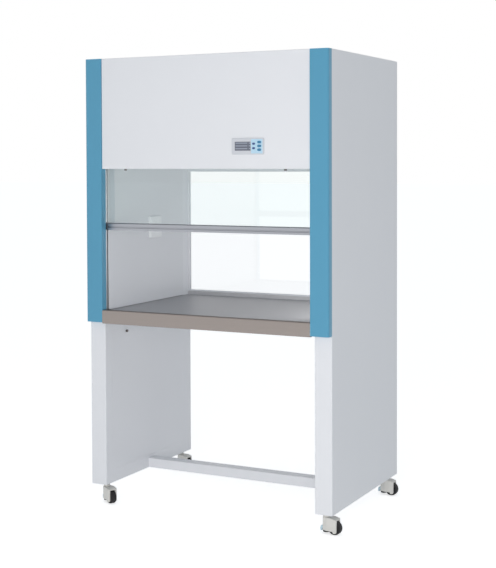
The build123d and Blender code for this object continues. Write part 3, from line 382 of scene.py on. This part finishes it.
def grained_metal(name, colour, dull_colour, roughness, line_mm, along, depth_mm=0.01, strength=0.3):
    """Metal with fine lines along one axis, as an extrusion die leaves them."""
    material, tree, shader, place = start_material(name, colour, roughness, metallic=1.0)
    stretch = [1.0, 1.0, 1.0]
    stretch["xyz".index(along)] = 0.02
    lines = noise(tree, place, line_mm, detail=3.0, stretch=stretch)
    two_tone(tree, shader, lines, dull_colour, colour)
    rough_between(tree, shader, lines, roughness - 0.06, roughness + 0.08)
    bumped(tree, shader, lines, depth_mm, strength)
    return material


anodised_rail = grained_metal("anodised_aluminium_rail", "b1b3b9", "a6a8ae", 0.38, EXTRUSION_LINE_MM, "x")
anodised_guide = grained_metal("anodised_aluminium_guide", "cfd2d5", "bfc2c6", 0.38, EXTRUSION_LINE_MM, "z")
spun_fan = grained_metal("bright_aluminium_fan", "c4c8cb", "aeb2b6", 0.42, EXTRUSION_LINE_MM, "x")

zinc, tree, shader, place = start_material("galvanised_sheet", "b6babd", 0.45, metallic=1.0)
crystals = add(tree, "ShaderNodeTexVoronoi", {"Scale": per_metre(SPANGLE_MM)}, {"Vector": place})
crystal_tone = add(tree, "ShaderNodeSeparateColor", links={0: crystals.outputs["Color"]}).outputs[0]
two_tone(tree, shader, crystal_tone, "a3a8ac", "c2c6c8")
rough_between(tree, shader, crystal_tone, 0.36, 0.52)

plated_steel, tree, shader, place = start_material("zinc_plated_steel", "9da0a4", 0.38, metallic=1.0)
two_tone(tree, shader, noise(tree, place, 6.0), "8a8d92", "a9adb1")

screw_steel, tree, shader, place = start_material("stainless_screw", "77736f", 0.42, metallic=1.0)
two_tone(tree, shader, noise(tree, place, 2.0), "66625f", "84807c")

# Sand casting leaves a grain of about a millimetre under the paint.
cast_iron, tree, shader, place = start_material("painted_cast_iron", "54575b", 0.62)
sand = noise(tree, place, 1.5, detail=3.0)
two_tone(tree, shader, sand, "4a4d51", "5d6064")
bumped(tree, shader, sand, 0.25, 0.6)
print("metals ready")

# %% [markdown]
# ## Glass
# The sash and the rear window are 5 mm float glass, which is clear with a faint green cast that
# shows at its cut edges. Real panes hardly shade what is behind them, but a refracting shader
# gives a full shadow when caustics are left out. So for shadow and diffuse light the pane is a
# plain transparent sheet, and for the eye it is glass.

# %% Glass
GLASS_IOR = 1.52
GLASS_SHEEN = 0.15  # a low specular level, so that the panes mirror the white room only faintly


def clear_glass(name, colour, shade):
    """A pane that refracts and mirrors for the eye, and lets lamps through."""
    material, tree, shader, place = start_material(name, colour, 0.0, ior=GLASS_IOR)
    shader.inputs["Transmission Weight"].default_value = 1.0
    shader.inputs["Specular IOR Level"].default_value = GLASS_SHEEN
    path = add(tree, "ShaderNodeLightPath")
    lamp_light = add(tree, "ShaderNodeMath", operation="MAXIMUM",
                     links={0: path.outputs["Is Shadow Ray"], 1: path.outputs["Is Diffuse Ray"]})
    open_air = add(tree, "ShaderNodeBsdfTransparent", {"Color": linear(shade)})
    output = next(made for made in tree.nodes if made.type == "OUTPUT_MATERIAL")
    choice = add(tree, "ShaderNodeMixShader",
                 links={0: lamp_light.outputs[0], 1: shader.outputs[0], 2: open_air.outputs[0]})
    tree.links.new(choice.outputs[0], output.inputs["Surface"])
    return material


float_glass = clear_glass("clear_float_glass", "ffffff", "ffffff")
sash_pane = clear_glass("tinted_sash_glass", "f8fdfc", "f8fdfc")

# A lamp tube's glass is coated white inside, under a smooth outer skin.
opal_tube, tree, shader, place = start_material("opal_lamp_glass", "f6f7f8", 0.12)
two_tone(tree, shader, noise(tree, place, 60.0), "f0f2f4", "fafbfb")
shader.inputs["Coat Weight"].default_value = 0.5
print("glass ready:", float_glass.name)

# %% [markdown]
# ## Plastics and rubber
# Caster shells are injection-moulded nylon, slightly warm white, with the fine matt grain of a
# spark-eroded mould. The control panel is moulded ABS, whose printed field carries the keys. The
# tyres are black rubber with a dull skin that dust makes greyer.

# %% Plastics and rubber
def moulded(name, colour, other, roughness, grain_mm=1.5, depth_mm=0.02):
    """Moulded plastic: an even colour with a fine grain."""
    material, tree, shader, place = start_material(name, colour, roughness)
    grain = noise(tree, place, grain_mm, detail=2.0)
    two_tone(tree, shader, noise(tree, place, 30.0), other, colour)
    bumped(tree, shader, grain, depth_mm, 0.4)
    return material


caster_nylon = moulded("moulded_nylon_shell", "dddcd8", "d5d4cf", 0.4)
pulley_nylon = moulded("turned_nylon_pulley", "ecebe6", "e4e2dc", 0.45)
socket_plastic = moulded("moulded_urea_white", "eef0f2", "e9ebee", 0.28)
inlet_plastic = moulded("moulded_nylon_black", "26272a", "2c2d30", 0.45)
key_blue = moulded("silicone_key_blue", "3f83ab", "3a7ca4", 0.5)
key_dark = moulded("silicone_key_navy", "34508a", "2f4a82", 0.5)

tyre_rubber, tree, shader, place = start_material("black_tyre_rubber", "131316", 0.7)
dust = noise(tree, place, 14.0, detail=4.0)
two_tone(tree, shader, dust, "0e0e11", "1c1c1f")
bumped(tree, shader, noise(tree, place, 1.2, detail=3.0), 0.05, 0.5)

# Glass-fibre paper is felted, so its grain has no direction and it takes no shine.
filter_paper, tree, shader, place = start_material("glass_fibre_paper", "f2f1ec", 0.95)
felt = noise(tree, place, 2.0, detail=4.0)
two_tone(tree, shader, felt, "e6e5df", "f7f6f2")
bumped(tree, shader, felt, 0.3, 0.6)
filter_card = moulded("pressed_filter_card", "c9b58f", "bfa981", 0.85, grain_mm=3.0, depth_mm=0.1)
print("plastics ready")

# %% [markdown]
# ## Dress the sheet metal and the panes
# A CAD node keeps its shape and takes a better finish in its own material slots. Each finish is
# listed with the nodes that have it.

# %% Dress the CAD nodes
def dress(material, *names):
    """Gives every slot of the named nodes one material."""
    for name in names:
        for slot in nodes[name].material_slots:
            slot.material = material


def both_sides(*names):
    """The left and the right node of each name."""
    return [f"{side}_{name}" for side in ("left", "right") for name in names]


corners = ("front_left", "front_right", "rear_left", "rear_right")
dress(white_coat, *both_sides("outer_panel", "side_frame", "lower_panel"), "front_panel", "rear_panel",
      "roof_panel", "stretcher", "lamp_fitting")
dress(grey_coat, *both_sides("chamber_wall"), "diffuser_plate", "rear_window_frame")
dress(blue_coat, *both_sides("column"))
dress(zinc, "plenum_case", "blower_housing", "pulley_rail")
dress(anodised_guide, *both_sides("sash_guide"))
dress(spun_fan, "impeller")
dress(anodised_rail, "sash_handle")
dress(float_glass, "rear_glass")
dress(sash_pane, "sash_glass")
dress(plated_steel, "sash_clamps", "sash_cables", "caster_stems")
dress(screw_steel, "panel_screws")
dress(cast_iron, *both_sides("counterweight"), "blower_motor")
dress(pulley_nylon, *both_sides("pulley"))
dress(filter_paper, "hepa_filter", "prefilter")
dress(opal_tube, "lamp_tubes")
dress(key_blue, "key_fan", "key_light", "key_lamp")
dress(key_dark, "key_up", "key_down")
dress(socket_plastic, "wall_socket")
dress(inlet_plastic, "mains_inlet")
dress(caster_nylon, *(f"{corner}_caster_hood" for corner in corners))
dress(tyre_rubber, *(f"{corner}_caster_wheel" for corner in corners))
print("finishes given; the feet, the worktop, the panel and its display follow")

# %% [markdown]
# ## The levelling feet
# A levelling foot is a black rubber pad under a steel spindle, turned by a pale blue lever. It is
# one node, so its material tells the three apart by place. One formula finds the distance from a
# point to its own swivel axis, because the four axes lie alike about the bench's middle: at
# CASTER_X on either side, and CASTER_APART from CASTER_MIDDLE.

# %% Levelling feet
CASTER_X, CASTER_MIDDLE, CASTER_APART = 460 * MM, 15 * MM, 288 * MM
PAD_RADIUS, PAD_TOP, LEVER_FOOT = 12.4 * MM, 13.2 * MM, 17.8 * MM


def levelling_foot():
    """Rubber, steel or lever by the height of a point and its distance from the swivel axis."""
    material, tree, shader, place = start_material("levelling_foot", "131316", 0.5)
    axes = add(tree, "ShaderNodeSeparateXYZ", links={0: place})

    def calculate(operation, first, second):
        """One Math node. Each term is a number or the output of a node."""
        values, links = {}, {}
        for socket, term in enumerate((first, second)):
            (values if isinstance(term, float) else links)[socket] = term
        return add(tree, "ShaderNodeMath", values, links, operation=operation).outputs[0]

    off_x = calculate("SUBTRACT", calculate("ABSOLUTE", axes.outputs["X"], 0.0), CASTER_X)
    off_y = calculate("SUBTRACT", axes.outputs["Y"], CASTER_MIDDLE)
    off_y = calculate("SUBTRACT", calculate("ABSOLUTE", off_y, 0.0), CASTER_APART)
    squares = calculate("ADD", calculate("MULTIPLY", off_x, off_x), calculate("MULTIPLY", off_y, off_y))
    beyond_pad = calculate("GREATER_THAN", squares, PAD_RADIUS**2)
    on_lever = calculate("MAXIMUM", beyond_pad, calculate("GREATER_THAN", axes.outputs["Z"], LEVER_FOOT))
    on_steel = calculate("GREATER_THAN", axes.outputs["Z"], PAD_TOP)
    bare = mixed_colour(tree, on_steel, "131316", "8f9296")
    tree.links.new(mixed_colour(tree, on_lever, bare, "c3dbe6"), shader.inputs["Base Color"])
    tree.links.new(calculate("SUBTRACT", on_steel, on_lever), shader.inputs["Metallic"])
    return material


dress(levelling_foot(), *(f"{corner}_levelling_foot" for corner in corners))
print("levelling feet:", len(corners))

# %% [markdown]
# ## The worktop
# The tray is pressed a few millimetres deep behind its front lip, and its rear edge is turned up
# as a rim that hides the foot of the window frame. The CAD tray lies a little deeper, with a lower
# rim, so the shown one is a copy of it with its pan raised and its rim drawn up. The pan rises no
# higher, because the bar under the sash comes down to 2 mm above the CAD pan.

# %% Worktop with a shallow pan
PAN_TOP, RIM_TOP = 745 * MM, 752 * MM  # just over the CAD pan, and just under its rim
PAN_FRONT = -320 * MM
PAN_RISE, RIM_RISE = 1.5 * MM, 8 * MM
REAR_EDGE = 325 * MM
FOOT_SHIFT, RIM_SHIFT = -5 * MM, -3.2 * MM  # forwards, the edge less, so the rim leans back
SAME_POINT = 0.01 * MM  # vertices nearer than this are joined
SHARP_EDGE = 35  # degrees

worktop = bpy.data.objects.new("worktop_tray", nodes["worktop"].data.copy())
scene.collection.objects.link(worktop)
form = bmesh.new()
form.from_mesh(worktop.data)
bmesh.ops.remove_doubles(form, verts=form.verts, dist=SAME_POINT)
for vertex in form.verts:
    if vertex.co.y < PAN_FRONT:
        continue
    at_rear = vertex.co.y > REAR_EDGE
    on_rim = vertex.co.z > RIM_TOP
    if at_rear:
        vertex.co.y += RIM_SHIFT if on_rim else FOOT_SHIFT
    vertex.co.z += RIM_RISE if on_rim else PAN_RISE if at_rear or vertex.co.z < PAN_TOP else 0.0
form.to_mesh(worktop.data)
form.free()
# The CAD mesh carries its own normals, which no longer fit, so they are made again.
for stale in [layer for layer in worktop.data.attributes if layer.name == "custom_normal"]:
    worktop.data.attributes.remove(stale)
worktop.data.shade_smooth()
worktop.data.set_sharp_from_angle(angle=math.radians(SHARP_EDGE))
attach(worktop, "cabinet")
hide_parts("worktop")
worktop.data.materials.clear()
worktop.data.materials.append(brushed_stainless)
print("worktop vertices:", len(worktop.data.vertices))

# %% [markdown]
# ## The control panel
# The panel is a moulded frame with a printed field under the keys. Print is flat, so the field is
# drawn in the material: a rectangle in X and Z, with an edge a fraction of a millimetre soft. The
# display is a liquid crystal behind a grey window, with rows of lighter bars.

# %% Control panel and display
PANEL_LEFT, PANEL_BOTTOM = 125 * MM, 1336 * MM
FIELD = (78 * MM, 4 * MM, 123 * MM, 55 * MM)  # left, bottom, right, top, from the panel's corner


def inside(tree, place, left, bottom, right, top, soft=0.0003):
    """1 inside a rectangle in X and Z, 0 outside."""
    axes = add(tree, "ShaderNodeSeparateXYZ", links={0: place})
    reach = []
    for axis, low, high in (("X", left, right), ("Z", bottom, top)):
        middle, half = (low + high) / 2, (high - low) / 2
        away = add(tree, "ShaderNodeMath", {1: middle}, {0: axes.outputs[axis]}, operation="SUBTRACT")
        size = add(tree, "ShaderNodeMath", links={0: away.outputs[0]}, operation="ABSOLUTE")
        fall = {"From Min": half - soft, "From Max": half + soft, "To Min": 1.0, "To Max": 0.0}
        reach.append(add(tree, "ShaderNodeMapRange", fall, {"Value": size.outputs[0]}).outputs[0])
    return add(tree, "ShaderNodeMath", links={0: reach[0], 1: reach[1]}, operation="MULTIPLY").outputs[0]


panel_abs, tree, shader, place = start_material("moulded_abs_panel", "cfd2d9", 0.3)
field = inside(tree, place, PANEL_LEFT + FIELD[0], PANEL_BOTTOM + FIELD[1],
               PANEL_LEFT + FIELD[2], PANEL_BOTTOM + FIELD[3])
two_tone(tree, shader, field, "cfd2d9", "bbdbef")
bumped(tree, shader, noise(tree, place, 0.8), 0.01, 0.3)
dress(panel_abs, "control_panel")

WINDOW_LEFT, WINDOW_BOTTOM = PANEL_LEFT + 13 * MM, PANEL_BOTTOM + 14 * MM
display, tree, shader, place = start_material("liquid_crystal_window", "4c545c", 0.08)
upright = {"Location": (-WINDOW_LEFT, 0, -WINDOW_BOTTOM), "Rotation": (math.pi / 2, 0, 0)}
rows = add(tree, "ShaderNodeMapping", upright, {"Vector": place}).outputs[0]
bars = add(tree, "ShaderNodeTexBrick",
           {"Color1": linear("a9afbc"), "Color2": linear("9299a8"), "Mortar": linear("666c7a"), "Scale": 1.0,
            "Mortar Size": 0.003, "Brick Width": 0.053, "Row Height": 0.0098}, {"Vector": rows}, offset=0.0)
tree.links.new(bars.outputs["Color"], shader.inputs["Base Color"])
dress(display, "display_window")
print("panel and display dressed")

# %% [markdown]
# ## The pleated filters
# Filter paper is folded to and fro so that a small frame holds many square metres of it. A fold
# line has a rule: the height goes up and down as one moves along the pack. Geometry Nodes make
# it from a flat grid whose columns stand half a pitch apart, where every second column is lifted.
# The same tree makes the deep pack over the work space and the shallow one under the roof slots.

# %% A tree for pleats
def input_id(tree, name):
    """The identifier of one of a tree's named inputs."""
    return next(item.identifier for item in tree.interface.items_tree if item.name == name)


pleat_tree = bpy.data.node_groups.new("pleated_pack", "GeometryNodeTree")
for socket_name, kind in (("Columns", "NodeSocketInt"), ("Pack Width", "NodeSocketFloat"),
                          ("Pack Depth", "NodeSocketFloat"), ("Fold Height", "NodeSocketFloat"),
                          ("Centre", "NodeSocketVector"), ("Paper", "NodeSocketMaterial")):
    pleat_tree.interface.new_socket(socket_name, in_out="INPUT", socket_type=kind)
pleat_tree.interface.new_socket("Geometry", in_out="OUTPUT", socket_type="NodeSocketGeometry")
given = add(pleat_tree, "NodeGroupInput").outputs
flat = add(pleat_tree, "GeometryNodeMeshGrid", {"Vertices Y": 2},
           {"Size X": given["Pack Width"], "Size Y": given["Pack Depth"], "Vertices X": given["Columns"]})
# The grid counts its points column by column, two to a column.
point = add(pleat_tree, "GeometryNodeInputIndex")
column = add(pleat_tree, "ShaderNodeMath", {1: 2.0}, {0: point.outputs[0]}, operation="DIVIDE")
whole = add(pleat_tree, "ShaderNodeMath", links={0: column.outputs[0]}, operation="FLOOR")
odd = add(pleat_tree, "ShaderNodeMath", {1: 2.0}, {0: whole.outputs[0]}, operation="MODULO")
level = add(pleat_tree, "ShaderNodeMath", {1: 0.5}, {0: odd.outputs[0]}, operation="SUBTRACT")
lifted = add(pleat_tree, "ShaderNodeMath", operation="MULTIPLY",
             links={0: level.outputs[0], 1: given["Fold Height"]})
rise = add(pleat_tree, "ShaderNodeCombineXYZ", links={"Z": lifted.outputs[0]})
placed = add(pleat_tree, "ShaderNodeVectorMath", operation="ADD",
             links={0: rise.outputs[0], 1: given["Centre"]})
folded = add(pleat_tree, "GeometryNodeSetPosition",
             links={"Geometry": flat.outputs["Mesh"], "Offset": placed.outputs[0]})
real = add(pleat_tree, "GeometryNodeRealizeInstances", links={0: folded.outputs[0]})
papered = add(pleat_tree, "GeometryNodeSetMaterial",
              links={"Geometry": real.outputs[0], "Material": given["Paper"]})
add(pleat_tree, "NodeGroupOutput", links={"Geometry": papered.outputs[0]})
print("pleat tree nodes:", len(pleat_tree.nodes))

# %% [markdown]
# ## From a tree to a mesh
# A tree only makes its shape while a modifier runs it. To keep the result as a plain mesh, the
# modifier runs once on an empty object, and the evaluated shape is copied.

# %% Run a tree once
def from_tree(name, tree, material, **sizes):
    """Runs a Geometry Nodes tree once and keeps the result as a plain mesh."""
    seed = bpy.data.objects.new(f"{name}_seed", bpy.data.meshes.new(f"{name}_seed"))
    scene.collection.objects.link(seed)
    modifier = seed.modifiers.new("tree", "NODES")
    modifier.node_group = tree
    for size_name, value in sizes.items():
        modifier[input_id(tree, size_name.replace("_", " "))] = value
    depsgraph = bpy.context.evaluated_depsgraph_get()
    mesh = bpy.data.meshes.new_from_object(seed.evaluated_get(depsgraph))
    mesh.name = name
    bpy.data.objects.remove(seed)
    piece = bpy.data.objects.new(name, mesh)
    mesh.materials.clear()
    mesh.materials.append(material)
    scene.collection.objects.link(piece)
    return piece


print("trees run to plain meshes")

# %% [markdown]
# ## Two filters in their frames
# A filter is a pleated pack glued into a frame of four bars. The frame is made to the size of the
# CAD node that it stands for, and the pack fills it, with a little room above and below its folds.

# %% Filters
PAPER_MM = 0.5
FRAME_EDGE_MM = 0.6


def frame_ring(low, high, wall):
    """A rectangular frame of four bars, as one closed mesh between two corners."""
    mesh = bmesh.new()
    rings = []
    for inset in (0.0, wall):
        for z in (low[2], high[2]):
            rings.append([mesh.verts.new(corner + (z,)) for corner in (
                (low[0] + inset, low[1] + inset), (high[0] - inset, low[1] + inset),
                (high[0] - inset, high[1] - inset), (low[0] + inset, high[1] - inset))])
    outer_low, outer_high, inner_low, inner_high = rings
    for i in range(4):
        j = (i + 1) % 4
        mesh.faces.new((outer_low[i], outer_low[j], outer_high[j], outer_high[i]))
        mesh.faces.new((inner_low[j], inner_low[i], inner_high[i], inner_high[j]))
        mesh.faces.new((outer_high[i], outer_high[j], inner_high[j], inner_high[i]))
        mesh.faces.new((outer_low[j], outer_low[i], inner_low[i], inner_low[j]))
    bmesh.ops.recalc_face_normals(mesh, faces=mesh.faces)
    return mesh


def pleated_filter(name, node, wall_mm, pitch_mm, clear_mm, frame_material):
    """A filter in its frame that stands for a CAD node, on one body with it."""
    low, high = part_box(node)
    ring = frame_ring(low, high, wall_mm * MM)
    mesh = bpy.data.meshes.new(f"{name}_frame")
    ring.to_mesh(mesh)
    ring.free()
    mesh.materials.append(frame_material)
    border = bpy.data.objects.new(f"{name}_frame", mesh)
    scene.collection.objects.link(border)
    edge = border.modifiers.new("rounded_edges", "BEVEL")
    edge.width, edge.segments = FRAME_EDGE_MM * MM, 2
    wide, deep, tall = (high[i] - low[i] for i in range(3))
    pack_wide = wide - 2 * wall_mm * MM
    columns = 2 * int(pack_wide / (pitch_mm * MM)) + 1
    pack = from_tree(f"{name}_pleats", pleat_tree, filter_paper, Columns=columns, Pack_Width=pack_wide,
                     Pack_Depth=deep - 2 * wall_mm * MM, Fold_Height=tall - 2 * clear_mm * MM,
                     Centre=tuple((low[i] + high[i]) / 2 for i in range(3)), Paper=filter_paper)
    thick = pack.modifiers.new("paper_thickness", "SOLIDIFY")
    thick.thickness, thick.offset = PAPER_MM * MM, 0.0
    for piece in (border, pack):
        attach(piece, "cabinet")
        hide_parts(node)
    print(name, "has", columns // 2, "pleats")


pleated_filter("deep_filter", "hepa_filter", wall_mm=18.0, pitch_mm=5.0, clear_mm=5.0,
               frame_material=anodised_rail)
pleated_filter("intake_filter", "prefilter", wall_mm=15.0, pitch_mm=9.0, clear_mm=3.0,
               frame_material=filter_card)

# %% [markdown]
# ## The sash cables
# Each cable goes up from its clamp on the pane, half round a pulley, and down to a counterweight.
# The steel model is at rest. When the sash moves, the front run gets longer and the back run
# shorter, so the two straight runs are separate pieces that stretch between their two ends, and
# only the arc over the pulley stays where it is. The wire is a seven-strand rope, 2 mm thick.

# %% The sash cables
CABLE_RADIUS = 1.0 * MM
CABLE_FRONT_X, CABLE_BACK_X, CABLE_Y = 410 * MM, 467 * MM, -281 * MM
PULLEY_Z, CLAMP_TOP_Z, WEIGHT_TOP_Z = 1655 * MM, 1545 * MM, 1310 * MM
ROPE_STRANDS, ROPE_LAY = 6, 14 * MM  # strands round the core, and the length of one full turn
CREST_SHARE = 0.14  # how far a strand stands proud, as a share of the radius
FRONT_STEPS, BACK_STEPS = 40, 110


def rope_mesh(name, path):
    """A twisted rope along a path of (point, normal, binormal, distance) rows."""
    mesh = bmesh.new()
    sides = 4 * ROPE_STRANDS
    rings = []
    for point, normal, side, distance in path:
        twist = 2 * math.pi * distance / ROPE_LAY
        ring = []
        for k in range(sides):
            angle = 2 * math.pi * k / sides
            crest = abs(math.cos(ROPE_STRANDS * angle / 2))
            radius = CABLE_RADIUS * (1 - CREST_SHARE + CREST_SHARE * crest)
            out = math.cos(angle + twist) * normal + math.sin(angle + twist) * side
            ring.append(mesh.verts.new(point + radius * out))
        rings.append(ring)
    for low, high in zip(rings, rings[1:]):
        for k in range(sides):
            mesh.faces.new((low[k], low[(k + 1) % sides], high[(k + 1) % sides], high[k]))
    mesh.faces.new(rings[0])
    mesh.faces.new(rings[-1])
    bmesh.ops.recalc_face_normals(mesh, faces=mesh.faces)
    for face in mesh.faces:
        face.smooth = True
    made = bpy.data.meshes.new(name)
    mesh.to_mesh(made)
    mesh.free()
    made.materials.append(plated_steel)
    piece = bpy.data.objects.new(name, made)
    scene.collection.objects.link(piece)
    return piece


def straight_run(x, low_z, high_z, steps):
    """Rows for a run straight up."""
    rows = []
    for i in range(steps + 1):
        z = low_z + (high_z - low_z) * i / steps
        rows.append((Vector((x, CABLE_Y, z)), Vector((1, 0, 0)), Vector((0, 1, 0)), z - low_z))
    return rows


def over_pulley(side, steps=48):
    """Rows for the half turn over one pulley."""
    middle = side * (CABLE_FRONT_X + CABLE_BACK_X) / 2
    radius = (CABLE_BACK_X - CABLE_FRONT_X) / 2
    rows = []
    for i in range(steps + 1):
        angle = math.pi * i / steps
        out = Vector((-side * math.cos(angle), 0, math.sin(angle)))
        point = Vector((middle, CABLE_Y, PULLEY_Z)) + radius * out
        rows.append((point, out, Vector((0, 1, 0)), radius * angle))
    return rows


print("rope of", ROPE_STRANDS, "strands round a core")

# %% [markdown]
# ## Hang the cables
# Each run is blended between two bodies: one end stays on the bench over the pulley, and the other
# follows the sash or the weight. The arc rides on the bench.

# %% Hang the cables
for side, name in ((-1, "left"), (1, "right")):
    front_rows = straight_run(side * CABLE_FRONT_X, CLAMP_TOP_Z, PULLEY_Z, FRONT_STEPS)
    back_rows = straight_run(side * CABLE_BACK_X, WEIGHT_TOP_Z, PULLEY_Z, BACK_STEPS)
    front = rope_mesh(f"{name}_cable_front_run", front_rows)
    back = rope_mesh(f"{name}_cable_back_run", back_rows)
    arc = rope_mesh(f"{name}_cable_over_pulley", over_pulley(side))
    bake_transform(front, "cabinet", "sash", start=(side * CABLE_FRONT_X, CABLE_Y, PULLEY_Z),
             end=(side * CABLE_FRONT_X, CABLE_Y, CLAMP_TOP_Z))
    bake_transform(back, "cabinet", f"{name}_weight", start=(side * CABLE_BACK_X, CABLE_Y, PULLEY_Z),
             end=(side * CABLE_BACK_X, CABLE_Y, WEIGHT_TOP_Z))
    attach(arc, "cabinet")
    for piece in (front, back, arc):
        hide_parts("sash_cables")
print("cables: two straight runs and an arc on each side")

# %% [markdown]
# ## Finish

# %% Finish
print("finished")
